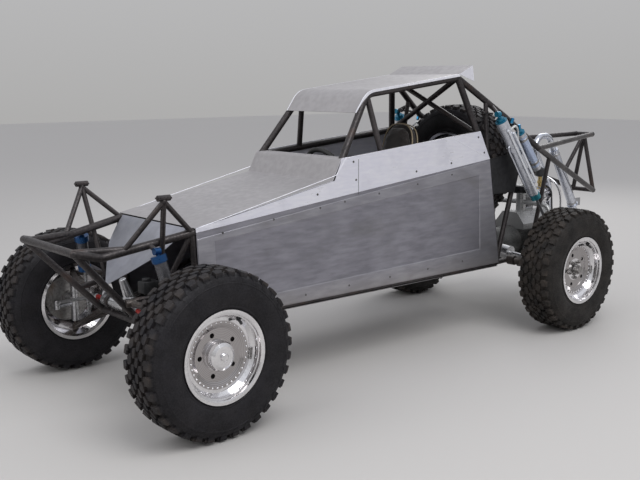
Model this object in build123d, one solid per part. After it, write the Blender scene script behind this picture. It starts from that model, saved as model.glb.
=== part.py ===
from build123d import *
import math
import os

# Single-seat rear-engined dune buggy, millimetres.
# +X points to the nose, +Y to the driver's left, +Z up, and the ground is Z 0.
# The origin lies on the ground under the middle of the vehicle's length.

# Overall sizes
wheelbase = 2690.0
front_reach = 428.0        # front axle to the foremost face of the bumper tube
tail_reach = 1176.0        # rear axle to the rearmost face of the tail
front_track = 1355.0       # between the middles of the front tyres
rear_track = 1318.0
front_axle_x = (wheelbase + tail_reach - front_reach) / 2

# Frame tube
main_r = 19.0              # radius of the main tubes
brace_r = 16.0             # radius of the bracing tubes
light_r = 12.5             # radius of the light tubes
box_tube_r = 15.0          # lower rails under the front axle
hoop_r = 19.5              # radius of the main hoop
knot_r = 19.7              # welded corners of the hoop
cradle_r = 14.5            # tubes that carry the transaxle
tube_bend = 112.0          # bend radius of the tubes' centre lines

# Sheet metal
sheet = 2.0

# Body sides, measured to the tube centres
nose_half = 331.0          # half width at the nose
rear_half = 358.0          # half width at the rear seam
nose_back = 144.0          # nose hoop, behind the front axle
seam_rear_back = wheelbase - 445
sill_up = 410.0            # height of the sill tubes
roof_half = 270.0          # half width of the roof rails

# Wheels and tyres
tyre_r = 375.0             # over the lug tips
tyre_w = 241.0             # widest section
tread_w = 190.0
bead_r = 190.0
rim_r = 207.0              # rim flange radius
rim_w = 225.0              # over the flanges
rim_wall = 4.0
well_r = 168.0             # drop centre
dish = 60.0                # outer flange face to the wheel's disc
disc_t = 9.0
rivet_flange_r = 136.0     # inner edge of the flat that the rivets go through
hub_r = 62.0
slot_circle_r = 94.0       # circle of the round holes in the wheel's disc
slot_r = 11.0
slot_count = 5
cap_r = 66.0               # front hub cap
cap_h = 45.0
cap_nut_r = 18.0
bore_r = 36.0              # open centre of a wheel without a cap
stave_count = 38           # lugs round the tread, left and right in turn
groove = 14.0              # lug height

# Running clearances
gap = 0.3                  # between pieces that seat on one another
pivot_gap = 1.5            # below an eye that stands clear of its pin

# Power unit
transaxle_r = 110.0
transaxle_up = 430.0
engine_front = 270.0       # behind the rear axle
engine_rear = 640.0
engine_low = 305.0
engine_high = 635.0

# Spare wheel
spare_back = wheelbase - 294
spare_up = 1005.0

os.makedirs("parts", exist_ok=True)


def at(back, side, up):
    """A point by its distance behind the front axle, side from the middle and height."""
    return Vector(front_axle_x - back, side, up)


def aft(past, side, up):
    """A point by its distance behind the rear axle, side from the middle and height."""
    return at(wheelbase + past, side, up)


def flip(point):
    return Vector(point.X, -point.Y, point.Z)


def blend(a, b, share):
    return a + (b - a) * share


def side_half(back):
    """Half width of the body at the tube centres, which widens evenly to the rear."""
    return nose_half + (rear_half - nose_half) * (back - nose_back) / (seam_rear_back - nose_back)


def rod(a, b, radius):
    return Solid.make_cylinder(radius, (b - a).length, Plane(origin=a, z_dir=b - a))


def bent_rod(points, radius, bend):
    path = FilletPolyline(*points, radius=bend)
    section = Plane(origin=path @ 0, z_dir=path % 0) * Circle(radius)
    return sweep(section, path=path).solid()


def weld(pieces):
    """Join tubes that meet into one solid."""
    first = pieces[0]
    return first.fuse(*pieces[1:]) if len(pieces) > 1 else first


def flip_solid(piece):
    return mirror(piece, about=Plane.XZ)


def both(piece):
    """A piece and its twin on the other side."""
    return [piece, flip_solid(piece)]


def cope(piece, *others):
    """Cut tube ends to seat on the tubes that they meet."""
    for other in others:
        piece = piece - other
    return piece


def keep(name, shape):
    """Write one piece, or several loose ones, as the node's file."""
    solids = shape if isinstance(shape, list) else [shape]
    loose = []
    for item in solids:
        loose += list(item.solids())
    whole = Compound(children=loose) if len(loose) > 1 else loose[0]
    whole.label = name
    export_step(whole, f"parts/{name}.step")


# The muffler's axis and radius
muffler_top = aft(tail_reach - 417, 0, 1038)
muffler_low = aft(tail_reach - 150, 0, 622)
muffler_r = 33.0

# Frame joints on the left side: distance behind the front axle, side, height
sill_rear_back = seam_rear_back + 114
seam_rear = at(seam_rear_back, rear_half, 1062)
joint = {
    "bumper": at(-(front_reach - main_r), 256, 796),
    "tower_top": at(-37, 390, 1005),
    "nose_top": at(nose_back, nose_half, 838),
    "nose_arm": at(165, nose_half, 560),
    "sill_front": at(170, nose_half, sill_up),
    "box_front": at(-50, 190, sill_up),
    "box_rear": at(170, 190, sill_up),
    "cowl_low": at(1001, side_half(1001), 1000),
    "cowl_top": at(1062, side_half(1062), 1112),
    "brace_foot": at(1355, side_half(1355), 1139),
    "leg_top": at(seam_rear_back - 94, side_half(seam_rear_back - 94), 1214),
    "seam_rear": seam_rear,
    "sill_rear": at(sill_rear_back, side_half(sill_rear_back), sill_up),
    "roof_front": at(1312, roof_half, 1455),
    "roof_rear": aft(-631, roof_half, 1545),
    "stay_turn": aft(-278, 355, 1308),
    "tail_split": aft(110, 330, 1098),
    "tail_low": aft(tail_reach - brace_r, 85, 723),
    "tail_high": aft(tail_reach - brace_r - 21, 68, 1138),
    "cradle_turn": aft(-185, 352, sill_up),
    "cradle_end": aft(235, 185, transaxle_up - transaxle_r - gap - cradle_r),
    "rail_dip": at(-289, 268, 765),
    "bumper_inner": at(-(front_reach - main_r), 222, 796),
}
joint["rail_front"] = blend(joint["bumper"], joint["box_front"], 0.68)
joint["rail_rear"] = at(165, 300, 560)
joint["tower_foot"] = blend(joint["rail_front"], joint["rail_rear"], 0.53)
joint["tower_fore"] = blend(joint["rail_dip"], joint["nose_top"], 0.23)
joint["rail_inner"] = blend(joint["rail_dip"], joint["nose_top"], 0.36)
joint["roof_bend"] = joint["roof_front"] + Vector(-5, 0, -9)
joint["stay_post"] = blend(joint["roof_rear"], joint["stay_turn"], 0.58)
joint["stay_brace"] = blend(joint["stay_turn"], joint["tail_split"], 0.55)
joint["cradle_hang"] = blend(joint["tail_split"], joint["tail_low"], 0.18)
joint["shock_tab"] = blend(joint["roof_rear"], joint["stay_turn"], 0.70)
joint["shock_eye"] = aft(-428, 417, 1330)
joint["shock_rail"] = blend(joint["rail_dip"], joint["nose_top"], 0.515)
joint["shock_front"] = at(-66, 366, 782)
joint["tail_apex"] = aft(tail_reach - brace_r - 21, 0, 1138)
joint["tail_hang"] = blend(muffler_top, muffler_low, 0.46)
joint["floor_mid"] = at(950, side_half(950), sill_up)
joint["floor_seat"] = at(seam_rear_back - 595, side_half(seam_rear_back - 595), sill_up)
joint["seam_front"] = at(nose_back + 8, side_half(152), 812)

# Tube tables. Each row: radius, joints from end to end, and whether the tube
# runs along each side ("pair"), from side to side ("across") or in the middle ("middle").
# A tube through three joints is bent at the one between.
floor_table = [
    (main_r, ["sill_front", "sill_rear"], "pair"),
    (brace_r, ["sill_front"], "across"),
    (brace_r, ["floor_mid"], "across"),
    (brace_r, ["floor_seat"], "across"),
    (brace_r, ["sill_rear"], "across"),
    (box_tube_r, ["box_front", "box_rear"], "pair"),
]
nose_table = [
    (main_r, ["bumper", "rail_dip", "nose_top"], "pair"),
    (brace_r - 1.0, ["bumper_inner", "rail_inner"], "pair"),
    (main_r - 0.5, ["bumper"], "across"),
    (brace_r, ["bumper", "box_front"], "pair"),
    (brace_r - 0.5, ["box_front"], "across"),
    (brace_r, ["nose_top"], "across"),
    (brace_r, ["nose_top", "sill_front"], "pair"),
    (light_r, ["rail_rear", "nose_arm"], "pair"),
    (light_r - 0.5, ["shock_rail", "shock_front"], "pair"),
    (light_r + 1.5, ["rail_front", "rail_rear"], "pair"),
    (light_r, ["tower_top", "tower_foot"], "pair"),
    (light_r, ["tower_top", "tower_fore"], "pair"),
    (light_r, ["tower_top", "nose_top"], "pair"),
    (light_r, ["nose_top", "tower_foot"], "pair"),
]
cabin_table = [
    (main_r, ["nose_top", "cowl_low"], "pair"),
    (brace_r, ["seam_front", "seam_rear"], "pair"),
    (brace_r, ["cowl_low"], "across"),
    (brace_r, ["cowl_top"], "across"),
    (main_r, ["cowl_low", "cowl_top"], "pair"),
    (main_r - 0.5, ["cowl_top", "leg_top"], "pair"),
    (main_r, ["cowl_top", "roof_front", "roof_rear"], "pair"),
    (brace_r, ["brace_foot", "roof_bend"], "pair"),
    (brace_r - 0.5, ["roof_bend"], "across"),
    (brace_r, ["cowl_low", "floor_mid"], "pair"),
]
rear_table = [
    (main_r, ["roof_rear", "stay_turn"], "pair"),
    (main_r - 0.5, ["stay_turn", "tail_split"], "pair"),
    (main_r - 1.0, ["tail_split", "tail_low"], "pair"),
    (main_r - 1.5, ["tail_split", "tail_high"], "pair"),
    (brace_r, ["tail_low"], "across"),
    (brace_r, ["tail_high"], "across"),
    (brace_r - 1.0, ["tail_apex", "tail_low"], "pair"),
    (brace_r - 1.5, ["tail_apex", "tail_hang"], "middle"),
    (light_r + 1.0, ["stay_post", "seam_rear"], "pair"),
    (light_r, ["shock_tab", "shock_eye"], "pair"),
    (brace_r, ["sill_rear", "stay_brace"], "pair"),
    (cradle_r + 1.0, ["sill_rear", "cradle_turn"], "pair"),
    (cradle_r + 0.5, ["cradle_turn", "cradle_end"], "pair"),
    (cradle_r, ["cradle_end"], "across"),
    (cradle_r, ["cradle_end", "cradle_hang"], "pair"),
]


def tubes_of(table):
    tubes = []
    for radius, names, run in table:
        points = [joint[name] for name in names]
        if run == "across":
            points.append(flip(points[0]))
        tube = rod(*points, radius) if len(points) == 2 else bent_rod(points, radius, tube_bend)
        tubes += both(tube) if run == "pair" else [tube]
    return tubes


def knots(names, radius):
    """Round off the welded corners where equal tubes end on one point."""
    balls = []
    for name in names:
        ball = Pos(joint[name]) * Sphere(radius)
        balls += both(ball.solid())
    return balls


def main_hoop():
    """The hoop behind the seat, bent from one tube, with its cross of braces."""
    left = [joint["roof_rear"], joint["leg_top"], joint["seam_rear"], joint["sill_rear"]]
    across = [flip(point) for point in left]
    tubes = []
    for side in (left, across):
        for a, b in zip(side, side[1:]):
            tubes.append(rod(a, b, hoop_r))
        for point in side[:3]:
            tubes.append((Pos(point) * Sphere(knot_r)).solid())
    tubes.append(rod(left[0], across[0], hoop_r))
    tubes.append(rod(left[0], across[1], brace_r))
    tubes.append(rod(across[0], left[1], brace_r - 0.5))
    tubes.append(rod(left[2], across[2], brace_r))
    return tubes


def tower_caps():
    """The flat caps on the two front towers."""
    cap = Pos(joint["tower_top"] + Vector(0, 0, brace_r - 1)) * Box(66, 36, 7)
    return both(cap.solid())


def frames():
    floor = weld(tubes_of(floor_table) + knots(["sill_front"], main_r))
    cabin_tubes = tubes_of(cabin_table) + main_hoop()
    cabin = weld(cabin_tubes + knots(["nose_top", "cowl_low", "cowl_top", "roof_bend"], hoop_r))
    cabin = cope(cabin, floor)
    nose = weld(tubes_of(nose_table) + knots(["bumper"], main_r) + knots(["tower_top"], brace_r)
                + tower_caps())
    nose = cope(nose, floor, cabin)
    rear = weld(tubes_of(rear_table) + knots(["stay_turn", "tail_split"], main_r)
                + knots(["tail_low", "tail_high"], brace_r + 3.0) + knots(["cradle_turn"], cradle_r + 1.0))
    rear = cope(rear, floor, cabin, rod(muffler_top, muffler_low, muffler_r + gap))
    return floor, cabin, nose, rear


def spare_carrier(frame_cabin):
    """The stub on the hoop's cross tube that the spare wheel bolts to."""
    root = at(seam_rear_back, 0, joint["seam_rear"].Z)
    bend = at(seam_rear_back, 0, spare_up)
    face = at(spare_back + rim_w / 2 - dish - disc_t - gap, 0, spare_up)
    plate = rod(face + Vector(12, 0, 0), face, hub_r)
    stub_r = brace_r - 0.5
    return cope(weld([rod(root, bend, stub_r), (Pos(bend) * Sphere(stub_r)).solid(),
                      rod(bend, face, stub_r), plate]), frame_cabin)


# Body panels
side_face = hoop_r + gap   # tube centre to the inside of a side panel
fold_r = 26.0              # hollow folds in the sheets, on the line of the tubes' centres
over_tube_r = 0.5          # folds round a tube, on the same line


def side_sheet(outline, lift=0.0):
    """A flat panel on the left side, from an outline of distance behind the axle and height."""
    run = seam_rear_back - nose_back
    flare = (rear_half - nose_half) / run
    face = side_face + lift
    points = []
    for back, up in outline:
        points.append(at(back, side_half(back) + face, up))
    wire = Wire.make_polygon(points, close=True)
    outward = Vector(flare, 1, 0).normalized()
    return Solid.extrude(Face(wire), outward * sheet)


def side_panels():
    top = joint["cowl_top"].Z + main_r
    leg_up = joint["leg_top"].Z + main_r
    hood_up = joint["nose_top"].Z + main_r
    low_up = joint["cowl_low"].Z + main_r
    seam_front_up = joint["seam_front"].Z + 26
    seam_rear_up = joint["seam_rear"].Z
    front = nose_back + 6
    upper = side_sheet([
        (front, hood_up), (1001, low_up), (1050, top), (1110, top + 4), (seam_rear_back - 94, leg_up),
        (seam_rear_back, seam_rear_up + 1), (front + 2, seam_front_up + 1)])
    lower = side_sheet([
        (front + 2, seam_front_up), (seam_rear_back, seam_rear_up),
        (sill_rear_back, sill_up + 2), (front + 22, sill_up + 2)])
    return upper, lower


def rear_side_panel():
    """The dark sheet behind the hoop's leg, in front of the rear wheel."""
    return side_sheet([
        (seam_rear_back + 3, 1062), (seam_rear_back + 195, 1086), (seam_rear_back + 315, 1062),
        (seam_rear_back + 250, 845), (seam_rear_back + 41, 845)])


def beside(profile, distance):
    """A line of (distance behind, height) moved to its left side, corner by corner."""
    moved = []
    for index, point in enumerate(profile):
        runs = []
        if index > 0:
            runs.append((profile[index - 1], point))
        if index < len(profile) - 1:
            runs.append((point, profile[index + 1]))
        normals = []
        for a, b in runs:
            length = math.hypot(b[0] - a[0], b[1] - a[1])
            normals.append((-(b[1] - a[1]) / length, (b[0] - a[0]) / length))
        mean_x = sum(normal[0] for normal in normals)
        mean_z = sum(normal[1] for normal in normals)
        reach = distance / (mean_x * normals[0][0] + mean_z * normals[0][1])
        moved.append((point[0] + mean_x * reach, point[1] + mean_z * reach))
    return moved


def strip(profile, half, start, bends):
    """A bent sheet across the vehicle that stands off its profile line by the start distance.

    The bends are the profile's own radii, negative where the sheet is on the inside of the turn.
    """
    lines = []
    for distance in (start, start + sheet):
        corners = [at(back, 0, up) for back, up in beside(profile, distance)]
        lines.append(FilletPolyline(*corners, radius=[abs(bend + distance) for bend in bends]))
    inner, outer = lines
    ends = [Line(inner @ 0, outer @ 0), Line(inner @ 1, outer @ 1)]
    return extrude(make_face(inner.edges() + outer.edges() + ends), amount=half, both=True)


def trapezoid(back_a, half_a, back_b, half_b, low, high):
    """A block with a tapered plan, used to trim sheets that reach from side to side."""
    points = [at(back_a, half_a, low), at(back_b, half_b, low),
              at(back_b, -half_b, low), at(back_a, -half_a, low)]
    return Solid.extrude(Face(Wire.make_polygon(points, close=True)), Vector(0, 0, high - low))


def spot(name):
    """A frame joint as distance behind the front axle and height."""
    return front_axle_x - joint[name].X, joint[name].Z


def toward(a, b, distance):
    """The point at a distance from a on the way to b, in the side view."""
    length = math.hypot(b[0] - a[0], b[1] - a[1])
    return a[0] + (b[0] - a[0]) * distance / length, a[1] + (b[1] - a[1]) * distance / length


def hood():
    """Hood and cowl: one sheet over the nose, bent up at the cowl and back over its top."""
    profile = [toward(spot("nose_top"), spot("cowl_low"), 8), spot("cowl_low"), spot("cowl_top"),
               toward(spot("cowl_top"), spot("leg_top"), 26)]
    metal = strip(profile, rear_half + 60, hoop_r + gap, (-fold_r, over_tube_r))
    trim = trapezoid(0, side_half(0) + side_face, 1200, side_half(1200) + side_face, 700, 1300)
    return cope((metal & trim).solid(), pillar_notch())


def pillar_notch():
    """Room for the two windscreen posts that rise through the cowl's top."""
    post = rod(joint["cowl_top"], joint["roof_front"], main_r + 1.5)
    return weld(both(post))


def roof():
    """Visor, roof and the lip turned up at its rear edge, with a plate at each end of the lip."""
    half = roof_half + 20
    lip_back, lip_up = spot("roof_rear")[0] + 121, spot("roof_rear")[1] + 54
    profile = [toward(spot("roof_front"), spot("cowl_top"), 132), spot("roof_front"), spot("roof_rear"),
               (lip_back, lip_up)]
    top = strip(profile, half, hoop_r + gap, (tube_bend, -fold_r))
    middle = beside(profile, hoop_r + gap + sheet / 2)
    corners = [middle[2], middle[3], (lip_back + 8, lip_up - 74)]
    points = [at(back, half - sheet, up) for back, up in corners]
    plate = Solid.extrude(Face(Wire.make_polygon(points, close=True)), Vector(0, sheet, 0))
    return weld([top.solid()] + both(plate))


def nose_panel():
    """A three-cornered panel from the hood's front edge down over the nose, with bowed sides."""
    normal = Vector(0.720, 0, 0.694)
    seat_line = joint["nose_top"] + normal * (brace_r + gap)
    run = Vector(normal.Z, 0, -normal.X)
    left = []
    for drop, half in ((-8, 296), (74, 276), (160, 236), (272, 122), (374, 9)):
        middle = seat_line + run * drop
        left.append(Vector(middle.X, half, middle.Z))
    right = [flip(point) for point in reversed(left)]
    return Solid.extrude(Face(Wire.make_polygon(left + right, close=True)), normal * sheet)


def floor_panel():
    top = sill_up - main_r - 0.3
    plan = trapezoid(170, nose_half + main_r - 4, sill_rear_back, rear_half + main_r - 4, top - sheet, top)
    return plan


def firewall():
    """The upright sheet behind the seat, from the floor to the hoop's cross tube."""
    face = front_axle_x - seam_rear_back + brace_r + gap
    half = side_half(seam_rear_back) - hoop_r - 2
    low = sill_up - main_r
    high = joint["seam_rear"].Z + brace_r
    corners = [Vector(face, half, low), Vector(face, -half, low), Vector(face, -half, high), Vector(face, half, high)]
    return Solid.extrude(Face(Wire.make_polygon(corners, close=True)), Vector(sheet, 0, 0))


# Wheel and tyre, modelled around Z with the outer face up
def ring(points):
    """A solid of revolution about Z from a closed outline of radius and height."""
    outline = [Vector(radius, 0, up) for radius, up in points]
    face = Face(Wire.make_polygon(outline, close=True))
    return revolve(face, axis=Axis.Z).solid()


def rim(capped):
    """A two-piece wheel: stepped barrel, dished centre with round holes, and a hub cap in front."""
    half = rim_w / 2
    disc_top = half - dish
    lip = 9.0
    outer = [(rim_r, half), (rim_r, half - lip), (bead_r, half - lip - 4), (bead_r, half - 34),
             (well_r, half - 50), (well_r, -half + 50), (bead_r, -half + 34),
             (bead_r, -half + lip + 4), (rim_r, -half + lip), (rim_r, -half)]
    inner = [(bead_r, -half), (bead_r - rim_wall, -half + 30), (well_r - rim_wall, -half + 48),
             (well_r - rim_wall, half - 52), (bead_r - 12, half - 35), (bead_r - 9, half - 16),
             (bead_r - 4, half - 14), (bead_r - 2, half - 3), (bead_r + 4, half)]
    foot = rivet_flange_r - 18
    hole = 0.01 if capped else bore_r
    centre = [(hole, disc_top), (foot, disc_top), (rivet_flange_r, disc_top + 9), (well_r - 2, disc_top + 9),
              (well_r - 2, disc_top - 1), (rivet_flange_r, disc_top - 1), (foot + 3, disc_top - disc_t),
              (hole, disc_top - disc_t)]
    wheel = ring(outer + inner).fuse(ring(centre))
    if capped:
        nut_h = 11
        wheel = wheel.fuse(ring([
            (0.01, disc_top - 1), (cap_r, disc_top - 1), (cap_r, disc_top + cap_h * 0.5),
            (cap_r - 6, disc_top + cap_h * 0.8), (cap_r - 20, disc_top + cap_h - 1),
            (cap_nut_r, disc_top + cap_h), (cap_nut_r, disc_top + cap_h + nut_h - 3),
            (cap_nut_r - 4, disc_top + cap_h + nut_h), (0.01, disc_top + cap_h + nut_h)]))
    for place in PolarLocations(slot_circle_r, slot_count):
        wheel = wheel - place * Pos(0, 0, disc_top) * Cylinder(slot_r, 4 * disc_t)
    return wheel.solid()


def tyre():
    """A tyre of flat staves round the axle; each carries a lug on one side of the tread
    and leaves the other side open, so that the lugs stand in turn left and right.
    A lug reaches past the middle, and so joins the next."""
    turn = 360 / stave_count
    flat = 1 / math.cos(math.radians(turn / 2))
    seat = (bead_r + gap, rim_w / 2 - 13.6)
    flange = (rim_r + 3.5, rim_w / 2 - 9.5)
    side = ((tyre_r + bead_r) / 2, tyre_w / 2)
    lug = [(tyre_r - 10, tread_w / 2 + 8), (tyre_r, tread_w / 2 - 11), (tyre_r, -8)]
    low = [(tyre_r - groove, tread_w / 2 - 9), (tyre_r - groove, 8)]
    above = [seat, flange, side] + lug
    below = [(radius, -up) for radius, up in reversed([seat, flange, side] + low)]
    ends = []
    for angle in (-turn / 2, turn / 2):
        facing = Vector(math.cos(math.radians(angle)), math.sin(math.radians(angle)), 0)
        corners = [facing * radius * flat + Vector(0, 0, up) for radius, up in above + below]
        ends.append(Wire.make_polygon(corners, close=True))
    stave = Solid.make_loft(ends, True)
    other = mirror(stave, about=Plane.XY)
    staves = [Rot(0, 0, turn * index) * (stave if index % 2 else other) for index in range(stave_count)]
    return weld(staves).solid()


def place_wheel(shape, x, side, left=True):
    """Stand a wheel piece on its axle, with its outer face away from the vehicle."""
    turned = Rot(-90, 0, 0) * shape
    turned = Pos(x, side, tyre_r) * turned
    return turned if left else mirror(turned, about=Plane.XZ)


def upright(point, radius, height):
    """A short cylinder with a vertical axis, centred on a point."""
    return (Pos(point) * Cylinder(radius, height)).solid()


def eye(point, direction, radius, length):
    """A pivot eye: a short cylinder centred on a point along its pivot's direction."""
    half = direction.normalized() * (length / 2)
    return rod(point - half, point + half, radius)


disc_in = rim_w / 2 - dish - disc_t      # inner face of the wheel's disc, from the tyre's middle
hub_in = disc_in - 46                    # inner end of the hub


def brake(open_wheel):
    """Hub with its flange behind the wheel's disc, and the brake disc. In an open wheel
    the hub's end and the axle nut come through the wheel's bore."""
    base = (Align.CENTER, Align.CENTER, Align.MIN)
    flange = Pos(0, 0, disc_in - 10 - gap) * Cylinder(hub_r + 14, 10, align=base)
    neck = Pos(0, 0, hub_in) * Cylinder(34, 40, align=base)
    disc = Pos(0, 0, disc_in - 34) * Cylinder(125, 12, align=base)
    piece = flange + neck + disc
    if open_wheel:
        stub_h = disc_t + 24
        piece += Pos(0, 0, disc_in - 1) * Cylinder(bore_r - 5, stub_h, align=base)
        piece += Pos(0, 0, disc_in + stub_h - 2) * extrude(RegularPolygon(24, 6), amount=20)
    return piece.solid()


rear_axle_x = front_axle_x - wheelbase
wheel_places = [
    # name, axle x, half track, left side
    ("front_left", front_axle_x, front_track / 2, True),
    ("front_right", front_axle_x, front_track / 2, False),
    ("rear_left", rear_axle_x, rear_track / 2, True),
    ("rear_right", rear_axle_x, rear_track / 2, False),
]

# Front suspension and steering
king_in = 65.5                           # kingpin, inside the middle of the tyre
king_y = front_track / 2 - king_in
king_half = 113.0                        # axle to each end of the knuckle's post
ball_drop = 34.0                         # post end to the middle of an arm's boss
ball_r = 17.0
boss_h = 26.0
arm_tube_r = 13.0
arm_eye_r = 18.0
king_low = Vector(front_axle_x, king_y, tyre_r - king_half)
king_high = Vector(front_axle_x, king_y, tyre_r + king_half)
horn_up = tyre_r - 20
horn_r = 11.0
horn_tip = Vector(front_axle_x + 112, king_y - 22, horn_up)
rod_eye_h = 24.0
rod_eye_up = horn_up + horn_r + pivot_gap + rod_eye_h / 2
rack_c = at(-60, 0, 470)
rack_bar_r = 12.5
rack_half = 150.0
bar_half = 225.0
rod_ball_r = 13.0


# Steering wheel and column
wheel_centre = at(1262, 0, 1010)
column_joint = at(830, 0, 838)
wheel_ring_r = 165.0
wheel_grip_r = 14.0
wheel_axis = (wheel_centre - column_joint).normalized()
pinion_l = 60.0
pinion_way = (column_joint - rack_c).normalized()
column_low = rack_c + pinion_way * (pinion_l + gap)


def arm(ball, post_end, inner_front, inner_rear):
    """A triangular arm of two tubes: boss and stud at the ball joint, an eye at each pivot."""
    pivot_line = inner_front - inner_rear
    stud_end = post_end + (ball - post_end).normalized() * gap
    pieces = [upright(ball, ball_r, boss_h), rod(ball, stud_end, 9)]
    for pivot, radius in ((inner_front, arm_tube_r), (inner_rear, arm_tube_r - 0.5)):
        pieces.append(rod(ball, pivot, radius))
        pieces.append(eye(pivot, pivot_line, arm_eye_r, 44))
    return weld(pieces)


def beside_rail(front, rear, share, offset):
    """A point out from a rail by the offset, square to it in plan."""
    along = (rear - front).normalized()
    out = Vector(0, 0, 1).cross(along)
    out = out if out.Y > 0 else out * -1
    return blend(front, rear, share) + out.normalized() * offset


def front_arms(frame_nose, frame_floor):
    """Upper and lower arms, left and right, in the order upper, lower, of the left side."""
    low_off = box_tube_r + arm_eye_r - 1
    lower = arm(king_low - Vector(0, 0, ball_drop), king_low,
                beside_rail(joint["box_front"], joint["box_rear"], 0.12, low_off),
                beside_rail(joint["box_front"], joint["box_rear"], 0.72, low_off))
    rail_off = light_r + 1.5 + arm_eye_r - 1
    upper = arm(king_high + Vector(0, 0, ball_drop), king_high,
                beside_rail(joint["rail_front"], joint["rail_rear"], 0.10, rail_off),
                beside_rail(joint["rail_front"], joint["rail_rear"], 0.84, rail_off))
    return cope(upper, frame_nose, frame_floor), cope(lower, frame_nose, frame_floor)


def knuckle():
    """The steered upright: a kingpin post, a spindle for the hub and an arm for the tie rod."""
    middle = Vector(front_axle_x, king_y, tyre_r)
    tip = Vector(front_axle_x, front_track / 2 + hub_in - gap, tyre_r)
    horn_root = Vector(front_axle_x, king_y, horn_up)
    return weld([rod(king_low, king_high, 20), rod(middle, tip, 26),
                 rod(horn_root, horn_tip, horn_r - 0.5), upright(horn_tip, 15, 2 * horn_r)])


def rack():
    """The rack's housing, and the sliding bar inside it."""
    y = Vector(0, 1, 0)
    housing = rod(rack_c - y * rack_half, rack_c + y * rack_half, 28)
    housing = housing - rod(rack_c - y * (rack_half + 5), rack_c + y * (rack_half + 5), rack_bar_r + gap)
    pinion = rod(rack_c + pinion_way * 20, rack_c + pinion_way * pinion_l, 16)
    return housing.fuse(pinion), rod(rack_c - y * bar_half, rack_c + y * bar_half, rack_bar_r)


def rack_mounts(frame_nose):
    """Two straps that carry the rack's housing on the cross tube under the front axle."""
    foot = joint["box_front"]
    straps = []
    for side in (90, -90):
        top = Vector(rack_c.X, side, rack_c.Z)
        low = Vector(foot.X, side, foot.Z)
        clamp = rod(top - Vector(0, 12, 0), top + Vector(0, 12, 0), 34)
        strap = weld([clamp, rod(low, top, 9)]) - rod(top - Vector(0, 20, 0), top + Vector(0, 20, 0), 28 + gap)
        straps.append(cope(strap.solid(), frame_nose))
    return straps


def tie_rod():
    """A rod from the rack's end to the knuckle's arm, with its eye above the arm's pad."""
    inner = rack_c + Vector(0, bar_half + rod_ball_r + gap, 0)
    outer = Vector(horn_tip.X, horn_tip.Y, rod_eye_up)
    ball = (Pos(inner) * Sphere(rod_ball_r)).solid()
    return weld([rod(inner, outer, 9), ball, upright(outer, 15, rod_eye_h)])


def steering_wheel():
    """A round rim on three spokes and a boss, square to the column."""
    plane = Plane(origin=wheel_centre, x_dir=Vector(0, 1, 0), z_dir=wheel_axis)
    ring_solid = (plane * Torus(wheel_ring_r - wheel_grip_r, wheel_grip_r)).solid()
    pieces = [rod(wheel_centre - wheel_axis * 28, wheel_centre + wheel_axis * 12, 34)]
    for turn in (0, 90, 180):
        place = plane * Rot(0, 0, turn) * Pos(wheel_ring_r - wheel_grip_r, 0, 0)
        pieces.append(rod(wheel_centre, place.position, 8))
    return ring_solid.fuse(*pieces)


def column():
    """The shaft from the steering wheel to the rack, in two lengths with a joint between."""
    top = wheel_centre - wheel_axis * (28 + gap)
    return weld([rod(top, column_joint, 14), (Pos(column_joint) * Sphere(19)).solid(),
                 rod(column_joint, column_low, 11)])


def shock(top, foot, table, *neighbours):
    """A damper on one line: an eye at each end, a rod, and the round parts of the table."""
    across = Vector(1, 0, 0)
    pieces = [rod(top, foot, 9), eye(top, across, 17, 30), eye(foot, across, 17, 30)]
    for start, end, radius in table:
        pieces.append(rod(blend(top, foot, start), blend(top, foot, end), radius))
    return cope(weld(pieces), *neighbours)


def bypass_tubes(top, foot):
    """Two oil tubes beside a damper's body, each with a boss at both ends."""
    along = (foot - top).normalized()
    out = Vector(0, 1, 0) - along * along.Y
    out = out.normalized()
    aside = along.cross(out)
    pieces = []
    for lean, start, end in ((0.45, 0.13, 0.70), (-0.45, 0.18, 0.62)):
        offset = (out + aside * lean).normalized() * 45
        a = blend(top, foot, start)
        b = blend(top, foot, end)
        pieces += [rod(a + offset, b + offset, 7.5), rod(a, a + offset, 8), rod(b, b + offset, 8.2)]
    return pieces


def reservoir(frame_rear):
    """The remote reservoir above the rear damper, on a clamp to the brace beside it."""
    top = aft(-185, 397, 1215)
    low = aft(5, 397, 980)
    middle = blend(top, low, 0.45)
    brace = blend(joint["sill_rear"], joint["stay_brace"], 0.88)
    body = weld([rod(top, low, 29.5), rod(top, blend(top, low, 0.1), 31.5), rod(blend(top, low, 0.92), low, 31.0),
                 rod(middle, brace, 9)])
    return cope(body, frame_rear)


front_shock_top = joint["shock_front"]
front_shock_foot = at(16, king_y - 134, 309)
rear_shock_top = joint["shock_eye"]
rear_shock_foot = aft(26, 478, 637)

# Round parts of each damper: start and end as shares of its length, radius
front_shock_table = [
    (0.04, 0.10, 36.0),
    (0.05, 0.42, 30.0),
    (0.39, 0.44, 33.0),
]
rear_shock_table = [
    (0.035, 0.06, 24.0),
    (0.055, 0.115, 37.0),
    (0.10, 0.29, 34.5),
    (0.28, 0.315, 37.5),
    (0.30, 0.745, 29.5),
    (0.72, 0.76, 33.0),
]


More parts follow.
